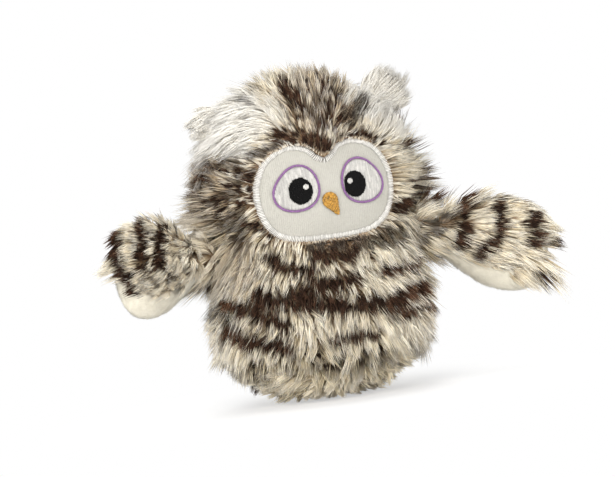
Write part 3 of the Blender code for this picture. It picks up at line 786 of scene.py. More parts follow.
def paint_coat(points, normals, shift, grain):
    """How dark, grey or warm, and white the coat is at some points. shift moves each point's place in the
    pattern, so that locks keep together at a bar's edges, and grain is a random value near -2 to 2."""
    x, y, z = points.T
    places = photo_place(points) + shift
    places += 2.0 * columns(wander(points, *ASIDE_WAVE), wander(points, *UP_WAVE))
    bar = np.zeros(len(points))
    for half_width, strength, *line in BARS_PX:
        reach = half_width + BAR_SPREAD
        away = distance_to_line(places, line)
        bar = np.maximum(bar, strength * fade(away, reach - BAR_SOFT_EDGE, reach + BAR_SOFT_EDGE))
    smoke = spots(places, SMOKE_PX, 0.35)
    snow = spots(places, SNOW_PX, 0.2)
    mottle = smooth(wander(points, *MOTTLE_WAVE) + 0.35 * grain + 0.40 * smoke, 0.30, 0.70)
    plain = 0.55 * fade(np.abs(x), BODY_HALF_WIDTH, BODY_HALF_WIDTH + 0.008)
    bar = np.maximum(bar, mottle * np.maximum(1.1 * smoke, plain) * (1 - snow))
    bar *= 1 - spots(places, CLEAR_PX, 0.3)

    # The side that the photograph doesn't show has level rings and grey patches
    rings = z / BACK_RING_PITCH + 0.35 * wander(points, *RING_WAVE) + 0.05 * grain
    back_bar = fade(np.abs((rings % 1.0) - 0.5), 0.13, 0.22)
    back_bar *= smooth(wander(points, *BREAK_WAVE), -0.9, -0.3)
    back_smoke = 0.6 * smooth(wander(points, *BACK_SMOKE_WAVE), 0.0, 0.8)
    behind = smooth(normals @ np.array(camera_axes()[2]), -0.12, 0.12)
    bar = mixed(bar, back_bar, behind)
    smoke = mixed(0.5 * smoke, back_smoke, behind)
    snow = np.maximum(snow * fade(y, 0.012, 0.03), 0.8 * near_face(points, 0.006))

    # The base is tan with dark flecks, and some strands are dark anywhere
    warm = fade(z, SEAM_HEIGHT - 0.006, SEAM_HEIGHT + 0.006)
    bar = np.maximum(bar, 0.3 * warm * smooth(wander(points, *FLECK_WAVE) + 0.5 * grain, 0.15, 0.75))
    warm = np.maximum(warm * (0.75 + 0.25 * wander(points, *TAN_WAVE)),
                      0.25 * smooth(wander(points, *WARM_WAVE), 0.2, 0.9))
    bar = np.where(grain < -1.7, np.maximum(bar, 0.75 * (1 - snow)), bar)
    return np.clip(bar, 0, 1), np.clip(smoke - warm, -1, 1), np.clip(snow, 0, 1)


# Fur

class Bed:
    """The faces that pile grows from: their corners, and the direction that stands up at each corner."""

    def __init__(self, corners, normals):
        self.corners, self.normals = np.array(corners), np.array(normals)
        sides = self.corners[:, 1:] - self.corners[:, :1]
        self.areas = np.linalg.norm(np.cross(sides[:, 0], sides[:, 1]), axis=1) / 2

    def scatter(self, count, draw):
        """Some even random places, with the direction that stands up at each."""
        ends = np.cumsum(self.areas)
        picks = np.searchsorted(ends, (np.arange(count) + draw.uniform(size=count)) / count * ends[-1])
        picks = np.minimum(picks, len(ends) - 1)
        first, second = np.sqrt(draw.uniform(size=count)), draw.uniform(size=count)
        shares = columns(1 - first, first * (1 - second), first * second)[:, :, None]
        return (self.corners[picks] * shares).sum(axis=1), unit((self.normals[picks] * shares).sum(axis=1))


def nearest(points, places, count=1):
    """For each place, the numbers of the nearest points."""
    tree = KDTree(len(points))
    for k, point in enumerate(points):
        tree.insert(point, k)
    tree.balance()
    return np.array([[found[1] for found in tree.find_n(place, count)] for place in places])


def fur_style(**values):
    """How a piece of pile is cut and combed. Sizes are in metres, the density in strands per square
    millimetre, and lift is how steep a strand stands at its root and its tip, in degrees."""
    fur = settings().fur
    style = dict(
        length=fur.body_length, width=fur.strand_width, lock=fur.lock_width, density=fur.body_density,
        lift=(60, 14), sway=0.35, stray=0.16, gather=0.80, droop=0.06, snow=False, step=0.0,
    )
    return SimpleNamespace(**(style | values))


def strand_paths(roots, stand, lean, lengths, start, end, places):
    """Arcs from the roots, at an angle to the cloth that goes from start to end along each."""
    curl = np.where(np.abs(end - start) < 0.05, -0.05, end - start)[:, None]
    start, lengths = start[:, None], lengths[:, None]
    angle = start + curl * places
    rise = (np.cos(start) - np.cos(angle)) / curl * lengths
    ahead = (np.sin(angle) - np.sin(start)) / curl * lengths
    return roots[:, None] + rise[:, :, None] * stand[:, None] + ahead[:, :, None] * lean[:, None]


def grow(name, bed, comb, style, seed, shape=STRAND, keep=None, nudge=None, cut=None):
    """A mesh of pile on a bed: strands gathered in locks, combed along the surface, with the coat painted
    on. keep picks roots, nudge moves them, and cut gives a share of the length and how much steeper strands
    stand."""
    draw = np.random.default_rng(seed)
    area = float(bed.areas.sum())
    lock_roots, lock_normals = bed.scatter(max(12, int(area / style.lock**2)), draw)
    lock_normals = unit(lock_normals[nearest(lock_roots, lock_roots, 8)].mean(axis=1))
    locks = len(lock_roots)
    wave = style.sway * wander(lock_roots, FLOW_PITCH, seed + 1) + draw.normal(0, style.stray, locks)
    flow = turned(across(comb(lock_roots), lock_normals), lock_normals, wave)
    lock_lift = draw.normal(0, math.radians(LOCK_LIFT), locks)
    lock_length = 1 + LENGTH_WAVE * wander(lock_roots, LENGTH_PITCH, seed + 2)
    lock_length += draw.normal(0, LOCK_LENGTH, locks)
    lock_tone = draw.normal(0, LOCK_TONE, locks)
    lock_shift = draw.normal(0, LOCK_SHIFT, (locks, 2))
    lock_grain = draw.normal(0, 1, locks)

    roots, normals = bed.scatter(int(area * 1e6 * style.density), draw)
    if keep:
        kept = keep(roots)
        roots, normals = roots[kept], normals[kept]
    if nudge:
        roots = roots + nudge(roots)
    count = len(roots)
    lock = nearest(lock_roots, roots)[:, 0]
    stand = unit(lock_normals[lock] + 0.5 * normals)
    lean = across(turned(flow[lock], stand, draw.normal(0, STRAND_TURN, count)), stand)
    lengths = style.length * np.clip(lock_length[lock] + draw.normal(0, STRAND_LENGTH, count), 0.45, 1.5)
    loose = draw.uniform(size=count) ** 8 * math.radians(LOOSE_LIFT)
    if cut:
        share, steeper = cut(roots, stand)
        lengths *= share
        loose += steeper
    first, last = np.radians(style.lift)
    start = first + lock_lift[lock] + draw.normal(0, math.radians(ROOT_LIFT), count) + loose
    end = last + 0.6 * lock_lift[lock] + draw.normal(0, math.radians(TIP_LIFT), count) + loose

    paths = strand_paths(roots, stand, lean, lengths, start, end, shape.places)
    paths -= (style.gather * shape.places**1.1)[:, None] * (roots - lock_roots[lock])[:, None]
    height = paths[:, :, 2] - (style.droop * lengths)[:, None] * shape.places**2
    low = GROUND_CLEARANCE
    paths[:, :, 2] = np.where(height < 4 * low, low + 3 * low * np.exp(height / low / 4 - 1), height)

    shift = lock_shift[lock] + draw.normal(0, STRAND_SHIFT, (count, 2))
    grain = 0.8 * lock_grain[lock] + 0.6 * draw.normal(0, 1, count)
    whole = paths[:, -1] - paths[:, 0]
    low_bar, hue, snow = paint_coat(paths[:, 0] + BAR_PLACES[0] * whole, stand, shift, grain)
    high_bar, _, _ = paint_coat(paths[:, 0] + BAR_PLACES[1] * whole, stand, shift, grain)
    # Painted shadow of the belly's overhanging fringe: on the base, strands just below the seam take dark
    # bars, broken by a wave and each lock's grain.
    if style.step:
        middle = paths[:, 0] + 0.5 * whole
        under = smooth(middle[:, 2], SEAM_HEIGHT - 0.019, SEAM_HEIGHT - 0.012) * smooth(grain, -1.4, 0.0)
        under *= style.step * smooth(wander(middle, *FRINGE_WAVE), -1.1, -0.2)
        low_bar, high_bar = np.maximum(low_bar, under), np.maximum(high_bar, 0.8 * under)
    if style.snow:
        low_bar, high_bar, hue, snow = 0 * grain, 0 * grain, 0 * grain - 0.05, 0 * grain + 1
    tone = np.clip(MIDDLE_TONE + lock_tone[lock] + draw.normal(0, STRAND_TONE, count), 0, 1)
    # Painted light: warm strands, mostly on the downward-facing tan base, get a higher tone so that they
    # look lit; white strands keep a high tone.
    tone = np.maximum(tone + 0.5 * np.maximum(-hue, 0), 0.9 * snow)
    sides = unit(np.cross(stand, lean))
    widths = style.width * draw.uniform(0.7, 1.2, size=count)
    return many(name, shape, paths, sides, np.cross(unit(whole), sides), widths, columns(tone, snow),
                columns(low_bar, high_bar, hue), unit(stand + (0, 0, 0.8 * style.step)))


def merged_copy(node):
    """A welded copy of a CAD node's mesh."""
    shape = bmesh.new()
    shape.from_mesh(frame["nodes"][node].data)
    bmesh.ops.remove_doubles(shape, verts=shape.verts, dist=WELD)
    return shape


def softened_copy(node, cuts, factor):
    """A welded copy of a CAD node's mesh, cut finer and smoothed."""
    shape = merged_copy(node)
    bmesh.ops.subdivide_edges(shape, edges=shape.edges, cuts=cuts, use_grid_fill=True)
    bmesh.ops.smooth_vert(shape, verts=shape.verts, factor=factor,
                          use_axis_x=True, use_axis_y=True, use_axis_z=True)
    return shape


def laid_down(node, name, foot_of, share, least, cuts=1):
    """A node's copy pressed down over what carries it, and the bed on its outer side. foot_of gives what
    carries a place, and share how much of its height it keeps. Faces higher than least are the bed."""
    shape = softened_copy(node, cuts, CLOTH_SOFTENING)
    shares = share(np.array([point.co for point in shape.verts])) if callable(share) else share
    away = {}
    for point, kept in zip(shape.verts, np.broadcast_to(shares, len(shape.verts))):
        foot = foot_of(point.co)
        away[point] = point.co - foot
        point.co = foot + away[point] * kept
    bmesh.ops.triangulate(shape, faces=shape.faces)
    shape.normal_update()
    corners, normals = [], []
    for face in shape.faces:
        middle = sum((away[v] for v in face.verts), Vector()) / 3
        if middle.length > least and face.normal.dot(middle.normalized()) > OUTER_SIDE:
            corners.append([v.co.copy() for v in face.verts])
            normals.append([away[v].normalized() for v in face.verts])
    return to_mesh(shape, name), Bed(corners, normals)


def dress(node, cloth, pile, body, slot, finishes, laying, comb, style, seed, cuts=1, **growing):
    """Lays a node's cloth down and grows pile on it, as two pieces. laying holds the rest of what laid_down
    takes, and growing of what grow takes."""
    mesh, bed = laid_down(node, cloth, *laying, cuts)
    piece(mesh, body, slot, node, finish=finishes[0])
    piece(grow(pile, bed, comb, style, seed, **growing), body, slot, finish=finishes[1])


def foot_on(node):
    """The nearest point of a node's surface, as a function of the place."""
    shape = merged_copy(node)
    tree = BVHTree.FromBMesh(shape)
    shape.free()
    return lambda place: tree.find_nearest(place)[0]


def face_edge(inset, count=220):
    """The face outline moved in by a distance. It runs clockwise, so its left is outside."""
    half = [(w * FACE_HALF_WIDTH, h * FACE_HALF_HEIGHT) for w, h in FACE_OUTLINE_SHARES]
    notch = (0.0, FACE_NOTCH_SHARE * FACE_HALF_HEIGHT)
    right = smooth_line([notch, *half], 8, (-half[-2][0], half[-2][1]))
    left = [(-x, z) for x, z in right[1:-1]][::-1]
    line = evenly_spaced([tuple(p) for p in right] + left, count)
    return line - left_of(line) * inset


def on_face(x, z, depth=0.0):
    """Points of the face: across, up, and out from the felt's front, which curves back all round."""
    return columns(x, (x * x + z * z) / (2 * FACE_CURVE_RADIUS) - FACE_FRONT - depth, FACE_HEIGHT + z)


def outside_face(roots):
    """Roots that the felt patch and its border leave free."""
    places = roots[:, [0, 2]] - (0.0, FACE_HEIGHT)
    return ~(inside(places, face_edge(PILE_EDGE, FACE_POINTS)) & (roots[:, 1] < 0))


def near_face(points, reach):
    """1 at the face patch's edge, falling to 0 at a reach from it."""
    line = face_edge(0.0, FACE_POINTS)
    away = distance_to_line(points[:, [0, 2]] - (0.0, FACE_HEIGHT), [*line, line[0]])
    return fade(away, 0.001, reach) * (points[:, 1] < 0)


def under_border(roots):
    """The way that roots beside the face move, to stand under the edge of its border."""
    towards = unit(np.array((0.0, 0.0, FACE_HEIGHT)) - roots) * (1.0, 0.0, 1.0)
    return PILE_TUCK * near_face(roots, 0.005)[:, None] * towards


def near_shoulder(points):
    """1 on the cheeks and round the shoulder seams below them, falling to 0 all round."""
    x, y, z = points.T
    away = columns(np.abs(x) - BODY_HALF_WIDTH, y, z - CHEEK_HEIGHT + SHOULDER_DROP) / SHOULDER_STRETCH
    return fade(np.linalg.norm(away, axis=1), *SHOULDER_REACH)


def ear_root(name):
    """The middle of the ear tuft's inner edge."""
    low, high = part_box(f"ear_tuft_{name}")
    return Vector((low.x if SIDES[name] > 0 else high.x, (low.y + high.y) / 2, low.z + 0.004))


def near_ear(points, name):
    """1 on the white patch round an ear tuft, falling to 0 all round."""
    away = (points - np.array(ear_root(name)) * EAR_PATCH_PLACE) * EAR_PATCH_STRETCH
    return fade(np.linalg.norm(away, axis=1), *EAR_PATCH_REACH)


def skin_share(points):
    """How high the backing lies in the fur layer: higher beside the face."""
    return BACKING_SHARE + BACKING_RISE * near_face(points, 0.016)


def body_comb(points):
    """Down the body and a little outwards, away from the face on the head, and back over the crown."""
    x, y, z = points.T
    down = (0.0, 0.0, -1.0) + 0.35 * unit(columns(x, y, 0.0))
    from_face = unit(columns(x, 0.0, z - FACE_HEIGHT))
    from_face[:, 1] += 0.8 * smooth(z, CROWN_START, CROWN_HEIGHT)
    head = smooth(z, NECK_HEIGHT - 0.004, NECK_HEIGHT + 0.016) * fade(y, 0.0, 0.03)
    over = smooth(z, 0.13, CROWN_HEIGHT) * smooth(y, -0.01, 0.02)
    flow = mixed(down, from_face, head[:, None]) + over[:, None] * (0.0, 0.7, -0.6)
    for name, (ear_flow, _, _) in EARS.items():
        flow = mixed(flow, ear_flow, near_ear(points, name)[:, None])
    flow[:, 0] += 1.1 * x * fade(z, SEAM_HEIGHT - 0.006, SEAM_HEIGHT) / BODY_HALF_WIDTH
    flow[:, 0] += 0.8 * near_shoulder(points) * np.sign(x)
    return flow


def body_cut(points, normals):
    """Shorter beside the felt face, along the lower seam and under the foot, longer on the crown, and long
    and steep round the shoulders, where the pile hides the gathered root of the wing."""
    x, _, z = points.T
    fringe = smooth(z, SEAM_HEIGHT - 0.0005, SEAM_HEIGHT + 0.0005) * fade(z, SEAM_HEIGHT, 0.045)
    share = 1 - 0.42 * near_face(points, 0.014) + 0.15 * smooth(z, CROWN_START, CROWN_HEIGHT) - 0.1 * fringe
    share *= 1 - 0.30 * fade(z, SEAM_HEIGHT - 0.002, SEAM_HEIGHT)
    share *= 1 - 0.35 * fade(z, 0.002, 0.012)
    ears = sum(near_ear(points, name) for name in SIDES)
    shoulder = near_shoulder(points)
    cheek = smooth(x, 0.025, 0.045) * fade(np.abs(z - CHEEK_HEIGHT - 0.014), 0.010, 0.024)
    share *= 1 + 0.62 * shoulder + 0.25 * ears + 0.5 * np.maximum(cheek - shoulder, 0)
    return share, np.radians(40 * shoulder - 10 * ears + 16 * fringe + 12 * near_face(points, 0.008))


class OwlOperator(bpy.types.Operator):
    """A step of the owl's dressing."""

    bl_options = {"REGISTER", "UNDO"}


class OWL_OT_fillings(OwlOperator):
    """Fibre filling of the body and the wings, as padded forms"""

    bl_idname = "owl.fillings"
    bl_label = "Fillings"

    def execute(self, context):
        for node, body in (("body_filling", "body"), ("wing_filling_left", "wing_left"),
                           ("wing_filling_right", "wing_right")):
            mesh = to_mesh(softened_copy(node, 1, 0.4), node.replace("filling", "wadding"))
            made = piece(mesh, body, "fibre_fill", node)
        return {"FINISHED"}


class OWL_OT_body_fur(OwlOperator):
    """Backing and long barred pile of the seven body panels"""

    bl_idname = "owl.body_fur"
    bl_label = "Body fur"

    def execute(self, context):
        fur = settings().fur
        style = fur_style()
        # The base's pile: step turns on the painted shadow under the belly's fringe, and leans its shading
        # normals up.
        base = fur_style(lift=(50, 10), droop=0.10, stray=0.36, sway=0.6, step=1.0,
                         density=0.9 * fur.body_density, lock=1.3 * fur.lock_width)
        laying = (foot_on("body_filling"), skin_share, 0.68 * PILE_LAYER)
        for k, node in enumerate(BODY_PANELS):
            cloth, pile = node.replace("panel", "backing"), node.replace("panel", "pile")
            dress(node, cloth, pile, "body", "barred_fur", ON_BACKING, laying, body_comb,
                  base if node == "base_panel" else style, BODY_SEED + 10 * k,
                  keep=outside_face, nudge=under_border, cut=body_cut)
        return {"FINISHED"}


def wing_root_centre(name):
    low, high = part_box(f"wing_root_{name}")
    return (low + high) / 2


class OWL_OT_wings(OwlOperator):
    """Each wing's barred pile, smooth lining and gathered root"""

    bl_idname = "owl.wings"
    bl_label = "Wings"

    def execute(self, context):
        for name, side in SIDES.items():
            self.make_wing(name, side)
            self.make_root(name, side)
        return {"FINISHED"}

    def make_wing(self, name, side):
        low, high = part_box(f"wing_filling_{name}")
        centre = wing_root_centre(name)
        tip = Vector((high.x if side > 0 else low.x, low.y, (low.z + high.z) / 2))
        span, shoulder = np.array((tip - centre).normalized()), np.array(centre)
        foot_of, least = foot_on(f"wing_filling_{name}"), 0.55 * WING_LAYER
        body = f"wing_{name}"

        def reach_of(points):
            return (points - shoulder) @ span

        def fringe(points):
            """1 at the lower corner of the wing's tip, where the pile hangs over the lining."""
            reach = reach_of(points)
            below = shoulder[2] + reach * span[2] - points[:, 2]
            return smooth(reach, *WING_TIP_REACH) * smooth(below, 0.002, 0.012) * (side > 0)

        def comb(points):
            """Towards the wing's tip, spread a little up and down, and over its edges."""
            reach = reach_of(points)[:, None]
            aside = points - shoulder - reach * span
            spread = 5.0 + (14.0 + 8.0 * side) * fade(reach, *WING_SPREAD_REACH)
            spread *= 0.3 + 0.7 * smooth(aside[:, 2:], -0.006, 0.006)
            flow = span + spread * aside * (0.4, 0.2, 1.0)
            flow[:, 2] -= WING_DROP * (0.5 + 5 * fringe(points))
            return flow

        def cut(points, normals):
            """Longer and steeper on the upper and lower edges by the root, flat along the rest of the upper
            edge, and longer at the tip's corner."""
            reach, rise = reach_of(points), normals[:, 2]
            root = fade(reach, *WING_ROOT_REACH) * smooth(np.maximum(rise, -0.4 * rise), 0.3, 0.8)
            root *= 1.0 if side > 0 else 0.3
            flat = smooth(reach, *WING_FLAT_REACH) * smooth(rise, 0.0, 0.5) * (side > 0)
            share = 1 + 0.62 * root + 0.42 * fringe(points) - 0.2 * flat
            return share, np.radians(22 * root - 14 * flat)

        fur = settings().fur
        style = fur_style(length=fur.wing_length, density=fur.wing_density, lift=(24 + 4 * side, 2),
                          stray=0.09, sway=0.14, droop=0.03)
        dress(f"wing_fur_{name}", f"wing_backing_{name}", f"wing_pile_{name}", body, "barred_fur",
              ON_BACKING, (foot_of, 0.42, least), comb, style, WING_SEED + side, cut=cut)
        style = fur_style(length=fur.nap_length, width=0.00016, lock=0.0016, density=5.5, gather=0.3,
                          droop=0.0, lift=(50, 30), snow=True)
        dress(f"wing_lining_{name}", f"wing_lining_plush_{name}", f"wing_nap_{name}", body, "smooth_plush",
              (None, None), (foot_of, 0.9, least), comb, style, WING_NAP_SEED + side, cuts=2,
              shape=NAP_FIBRE)

    def make_root(self, name, side):
        centre = wing_root_centre(name)
        body = f"wing_root_{name}"

        def out_from(points):
            return (points[:, 0] - centre.x) * side

        def comb(points):
            return np.array([side, 0.0, -0.25])

        def cut(points, normals):
            """Long and steep on the edges that show, and short on the side of the body."""
            rise = normals[:, 2]
            edge = smooth(np.abs(rise), 0.3, 0.8) * (0.6 + 0.4 * side)
            above = smooth(rise, 0.2, 0.8) * (side > 0)
            share = 1 + 0.4 * edge - 0.5 * fade(out_from(points), -0.006, -0.002)
            return share, np.radians(20 * edge + 24 * above)

        style = fur_style(length=0.0155, density=4.0, lift=(40, 4), sway=0.1)
        dress(body, f"wing_gather_{name}", f"wing_gather_pile_{name}", body, "barred_fur", ON_BACKING,
              (lambda place: centre, 0.6, 0.002), comb, style, WING_ROOT_SEED + side, cut=cut,
              keep=lambda roots: np.abs(out_from(roots) + 0.001) < 0.0065)


class OWL_OT_ears(OwlOperator):
    """Ear tufts of long white pile"""

    bl_idname = "owl.ears"
    bl_label = "Ear tufts"

    def execute(self, context):
        fur = settings().fur
        for name, (ear_flow, backing_share, tip_share) in EARS.items():
            root, flow = ear_root(name), unit(np.array(ear_flow))

            def comb(points):
                """Along the flap's own flow, fanning out a little."""
                return flow + 7.0 * (points - np.array(root)) * (1.0, 0.0, 1.0)

            def cut(points, normals):
                """Shorter towards the tip, where the strands stand up and point away."""
                tip = smooth(normals @ flow, 0.1, 0.9)
                return 1 - (1 - tip_share) * tip, math.radians(58) * tip

            style = fur_style(length=fur.ear_length, density=fur.ear_density, lift=(24, -4), stray=0.14,
                              sway=0.25, gather=0.35, droop=0.02, snow=True)
            dress(f"ear_tuft_{name}", f"ear_backing_{name}", f"ear_pile_{name}", f"ear_{name}", "snow_fur",
                  ("snow_backing", "barred_fur"), (lambda place: root, backing_share, 0.0), comb, style,
                  EAR_SEED + SIDES[name], shape=LONG_STRAND, cut=cut)
        return {"FINISHED"}


# Embroidery

def sew(name, node, finish, layer, rows, draw, width=THREAD_WIDTH):
    """A piece of satin stitches on the face. rows holds their starts and ends, and layer is how they lie."""
    starts, ends = rows
    depth, arch, light = layer
    places = starts[:, None] + (ends - starts)[:, None] * STITCH.places[:, None]
    lift = depth + arch * np.sin(np.pi * (0.06 + 0.88 * STITCH.places)) ** 0.8
    paths = on_face(places[:, :, 0], places[:, :, 1], lift)
    along = unit(paths[:, -1] - paths[:, 0])
    sides = unit(np.cross((0.0, -1.0, 0.0), along))
    widths = width * draw.uniform(0.9, 1.12, size=len(paths))
    tone = np.clip(draw.normal(light, 0.2, size=len(paths)), 0, 1)
    mesh = many(name, STITCH, paths, sides, np.cross(along, sides), widths, columns(tone, 0.0))
    piece(mesh, "body", finish, node)


def filled(line, direction, pitch, length, overshoot, draw):
    """Rows of stitches that fill a closed line along a direction, with staggered ends that overlap."""
    overlap = 0.16 * length
    ahead = np.array([math.cos(direction), math.sin(direction)])
    aside = np.array([-ahead[1], ahead[0]])
    middle = line.mean(axis=0)
    local = columns((line - middle) @ ahead, (line - middle) @ aside)
    starts, ends = [], []
    for row in np.arange(local[:, 1].min() + pitch / 2, local[:, 1].max(), pitch):
        crossings = []
        for a, b in zip(local, np.roll(local, -1, axis=0)):
            if (a[1] > row) != (b[1] > row):
                crossings.append(a[0] + (row - a[1]) / (b[1] - a[1]) * (b[0] - a[0]))
        crossings.sort()
        for low, high in zip(crossings[::2], crossings[1::2]):
            low -= draw.uniform(0, overshoot)
            high += draw.uniform(0, overshoot)
            cuts = [low]
            place = low + length * draw.uniform()
            while place < high - 0.3 * length:
                if place > low + 0.3 * length:
                    cuts.append(place)
                place += length
            cuts.append(high)
            for first, last in zip(cuts, cuts[1:]):
                starts.append(middle + max(low, first - overlap) * ahead + row * aside)
                ends.append(middle + min(high, last + overlap) * ahead + row * aside)
    return np.array(starts), np.array(ends)


def ring_stitches(line, width, lean, draw):
    """Stitches across a closed line, each leaning a little along it, and not quite alike."""
    left = left_of(line)
    ahead = columns(left[:, 1], -left[:, 0])
    reach = (left * math.cos(lean) + ahead * math.sin(lean)) * width / 2
    near, far = draw.uniform(0.88, 1.14, size=(2, len(line), 1))
    return line - near * reach, line + far * reach


def leaning(x, z, lean, centre=(0.0, 0.0)):
    """Places turned anticlockwise and moved to a centre."""
    cos, sin = math.cos(lean), math.sin(lean)
    return columns(centre[0] + x * cos - z * sin, centre[1] + x * sin + z * cos)


def ellipse(half_width, half_height, count=64, lean=0.0, centre=(0.0, 0.0)):
    """Points round an ellipse that leans anticlockwise."""
    turn = np.linspace(0, 2 * math.pi, count, endpoint=False)
    return leaning(half_width * np.cos(turn), half_height * np.sin(turn), lean, centre)


def middle_of(node):
    """The centre of a node on the face, across and up."""
    low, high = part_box(node)
    return ((low.x + high.x) / 2, (low.z + high.z) / 2 - FACE_HEIGHT)


class OWL_OT_face(OwlOperator):
    """Felt face patch with its nap, and the raised satin border"""

    bl_idname = "owl.face"
    bl_label = "Face patch"

    def execute(self, context):
        shape = self.felt_front()
        corners = [[v.co.copy() for v in face.verts[:3]] for face in shape.faces]
        bed = Bed(corners, [[Vector((0.0, -1.0, 0.0))] * 3] * len(corners))
        bmesh.ops.solidify(shape, geom=shape.faces[:], thickness=FELT_THICKNESS)
        piece(to_mesh(shape, "face_felt_patch"), "body", "face_felt", "face_patch")
        style = fur_style(length=0.0009, width=0.00013, lock=0.0014, density=4.0, gather=0.2, droop=0.0,
                          lift=(35, 10), stray=0.7, sway=1.2, snow=True)
        nap = grow("face_felt_nap", bed, lambda points: np.array([0.0, 0.0, -1.0]), style, FELT_SEED,
                   shape=NAP_FIBRE)
        piece(nap, "body", "face_felt")
        line = face_edge(BORDER_HALF_WIDTH, FACE_FINE_POINTS)
        line = face_edge(BORDER_HALF_WIDTH, int(line_length(line) / BORDER_PITCH))
        draw = np.random.default_rng(BORDER_SEED)
        rows = ring_stitches(line, BORDER_STITCH_WIDTH, BORDER_LEAN, draw)
        sew("face_border_satin", "face_border", "white_satin", BORDER_LAYER, rows, draw, BORDER_THREAD)
        return {"FINISHED"}

    def felt_front(self):
        """The felt's front, as a grid cut to the border's inner edge and curved back."""
        edge = face_edge(FELT_EDGE)
        half_height = FACE_HALF_HEIGHT * FELT_MARGIN
        shape = bmesh.new()
        bmesh.ops.create_grid(shape, x_segments=int(2 * FACE_HALF_WIDTH / FELT_CELL),
                              y_segments=int(2 * half_height / FELT_CELL), size=1.0)
        bmesh.ops.scale(shape, verts=shape.verts, vec=(FACE_HALF_WIDTH, half_height, 1.0))
        within = inside(np.array([v.co[:2] for v in shape.verts]), edge)
        outer = [v for v, kept in zip(shape.verts, within) if not kept]
        bmesh.ops.delete(shape, geom=outer, context="VERTS")
        for point in shape.verts:
            if point.is_boundary:
                away = edge - np.array(point.co[:2])
                point.co.xy = edge[np.linalg.norm(away, axis=1).argmin()]
        bmesh.ops.remove_doubles(shape, verts=shape.verts, dist=WELD)
        bmesh.ops.triangulate(shape, faces=[f for f in shape.faces if f.calc_area() < WELD**2])
        bmesh.ops.dissolve_degenerate(shape, edges=shape.edges, dist=WELD)
        for point in shape.verts:
            point.co = on_face(*point.co.xy)
        bmesh.ops.recalc_face_normals(shape, faces=shape.faces)
        if sum(face.normal.y for face in shape.faces) > 0:
            bmesh.ops.reverse_faces(shape, faces=shape.faces)
        return shape


class OWL_OT_eyes(OwlOperator):
    """Embroidered eyes: lilac ring, white fill, black pupil and a small glint"""

    bl_idname = "owl.eyes"
    bl_label = "Eyes"

    def execute(self, context):
        for name, side in SIDES.items():
            draw = np.random.default_rng(EYE_SEED + side)
            ring = self.outline(name, side, EYE_RING_WIDTH / 2, 400)
            ring = evenly_spaced(ring, int(line_length(ring) / EYE_RING_PITCH))
            rows = ring_stitches(ring, EYE_RING_WIDTH, EYE_RING_LEAN, draw)
            sew(f"eye_ring_satin_{name}", f"eye_ring_{name}", "lilac_satin", EYE_RING_LAYER, rows, draw)
            white = self.outline(name, side, EYE_RING_WIDTH, 80)
            pupil = ellipse(PUPIL_HALF_WIDTH, PUPIL_HALF_HEIGHT, centre=middle_of(f"pupil_{name}"))
            glint = ellipse(GLINT_RADIUS, GLINT_RADIUS, centre=middle_of(f"glint_{name}"))
            for part, finish, layer, line, overshoot in (
                ("eye_white", "white_satin", EYE_WHITE_LAYER, white, 0.0002),
                ("pupil", "black_satin", PUPIL_LAYER, pupil, 0.0005),
                ("glint", "white_satin", GLINT_LAYER, glint, 0.0002),
            ):
                rows = filled(line, math.pi / 2, 0.86 * THREAD_WIDTH, STITCH_LENGTH, overshoot, draw)
                sew(f"{part}_satin_{name}", f"{part}_{name}", finish, layer, rows, draw)
        return {"FINISHED"}

    def outline(self, name, side, inset, count):
        """An eye's outline, moved in: an ellipse that leans, drawn out to three soft corners."""
        across, up = middle_of(f"eye_ring_{name}")
        line = ellipse(EYE_LONG_RADIUS - inset, EYE_SHORT_RADIUS - inset, count, -side * EYE_LEAN)
        turn = np.arctan2(line[:, 1], line[:, 0]) - math.radians(90 + 10 * side)
        return line * (1 + EYE_CORNERS * np.cos(3 * turn))[:, None] + (across + EYE_SHIFT, up)


class OWL_OT_beak(OwlOperator):
    """Embroidered beak of gold thread"""

    bl_idname = "owl.beak"
    bl_label = "Beak"

    def execute(self, context):
        draw = np.random.default_rng(BEAK_SEED)
        taper = math.asin(BEAK_RADIUS / BEAK_LENGTH)
        turns = np.linspace(-taper, math.pi + taper, 30)
        blunt = BEAK_TIP_SHARE * BEAK_RADIUS
        x = np.array([*(BEAK_RADIUS * np.cos(turns)), -blunt, 0.0, blunt])
        z = np.array([*(BEAK_RADIUS * np.sin(turns)), *(np.array([blunt, 0.0, blunt]) - BEAK_LENGTH)])
        line = leaning(x, z, BEAK_LEAN, (0.0, -BEAK_DROP))
        rows = filled(line, BEAK_LEAN + BEAK_STITCH_TURN, 0.8 * THREAD_WIDTH, BEAK_STITCH_LENGTH, 0.0003,
                      draw)
        sew("beak_satin", "beak", "gold_satin", BEAK_LAYER, rows, draw)
        return {"FINISHED"}


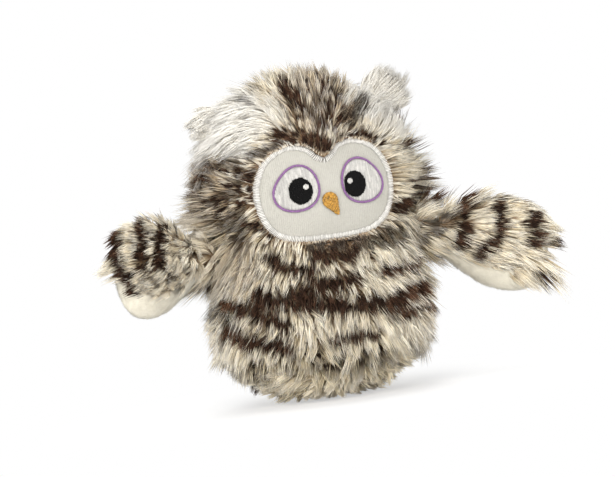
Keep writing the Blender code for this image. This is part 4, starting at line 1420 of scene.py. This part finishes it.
class OWL_OT_stage(OwlOperator):
    """Pale floor, soft lamps and the camera"""

    bl_idname = "owl.stage"
    bl_label = "Stage"

    def execute(self, context):
        stage = settings().stage
        self.make_floor(stage)
        for name, place, size, setting, share in LAMPS:
            lamp = bpy.data.lights.new(name, "AREA")
            lamp.energy = share * getattr(stage, setting)
            lamp.size = size
            made = shown(name, lamp)
            made.location = place
            made.rotation_euler = (CAMERA_AIM - Vector(place)).to_track_quat("-Z", "Y").to_euler()

        sky = Nodes(bpy.data.worlds.new("soft_sky"))
        bpy.context.scene.world = sky.owner
        background = sky.tree.nodes["Background"].inputs
        strength = sky.between(sky.seen_by_camera(), 0.0, 1.0, stage.sky, 1.0, "LINEAR")
        sky.feed(background["Strength"], strength)
        sky.feed(background["Color"], (1.0, 1.0, 1.0))

        view = bpy.data.cameras.new("photo_camera")
        view.sensor_width = SENSOR_WIDTH
        view.lens = SENSOR_WIDTH / 2 / math.tan(CAMERA_FIELD / 2)
        camera = shown("photo_camera", view)
        right, up, forward = camera_axes()
        turn = Matrix((right, up, -forward)).transposed().to_4x4()
        camera.matrix_world = Matrix.Translation(camera_place()) @ turn
        bpy.context.scene.camera = camera
        bpy.context.scene.view_settings.view_transform = "Standard"
        return {"FINISHED"}

    def make_floor(self, stage):
        """A pale floor, which the camera sees as plain white further from the owl."""
        shape = bmesh.new()
        bmesh.ops.create_grid(shape, x_segments=8, y_segments=8, size=3.0)
        floor = shown("studio_floor", to_mesh(shape, "studio_floor"))
        paint = Painter("studio_floor", Roughness=0.8, Specular_IOR_Level=0.1)
        paint.finish(paint.mottled(stage.floor, paint.noise(8.0), 0.99, 1.0))
        away = paint.node("ShaderNodeVectorMath", {0: paint.places()}, operation="LENGTH").outputs["Value"]
        far = paint.math("MULTIPLY", paint.between(away, 0.05, 0.16, 0.5, 1.0), paint.seen_by_camera())
        glow = paint.node("ShaderNodeEmission", {}).outputs[0]
        blend = paint.node("ShaderNodeMixShader", {0: far, 1: paint.shader.outputs[0], 2: glow})
        paint.feed(paint.tree.nodes["Material Output"].inputs["Surface"], blend.outputs[0])
        floor.data.materials.append(paint.owner)


STEPS = (OWL_OT_fillings, OWL_OT_body_fur, OWL_OT_wings, OWL_OT_ears, OWL_OT_face, OWL_OT_eyes, OWL_OT_beak,
         OWL_OT_stage)


class OWL_PT_looks(bpy.types.Panel):
    """The owl's settings and steps"""

    bl_idname = "OWL_PT_looks"
    bl_label = "Plush Owl"
    bl_space_type = "VIEW_3D"
    bl_region_type = "UI"
    bl_category = "Plush Owl"

    def draw(self, context):
        for group in settings().__dict__.values():
            box = self.layout.box()
            for name in group.__annotations__:
                box.prop(group, name)
        for step in STEPS:
            self.layout.operator(step.bl_idname)


GROUPS = {"owl_fur": OwlFurSettings, "owl_colours": OwlColourSettings, "owl_stage": OwlStageSettings}
CLASSES = (*GROUPS.values(), *STEPS, OWL_PT_looks)


def register():
    for each in CLASSES:
        bpy.utils.register_class(each)
    for name, group in GROUPS.items():
        setattr(bpy.types.Scene, name, PointerProperty(type=group))


def unregister():
    for name in GROUPS:
        delattr(bpy.types.Scene, name)
    for each in reversed(CLASSES):
        bpy.utils.unregister_class(each)


def main():
    register()
    for made in list(bpy.data.objects):
        if made.type in {"CAMERA", "LIGHT"}:
            bpy.data.objects.remove(made)
    bpy.ops.owl.fillings()
    bpy.ops.owl.body_fur()
    bpy.ops.owl.wings()
    bpy.ops.owl.ears()
    bpy.ops.owl.face()
    bpy.ops.owl.eyes()
    bpy.ops.owl.beak()
    bpy.ops.owl.stage()


if __name__ == "__main__":
    main()
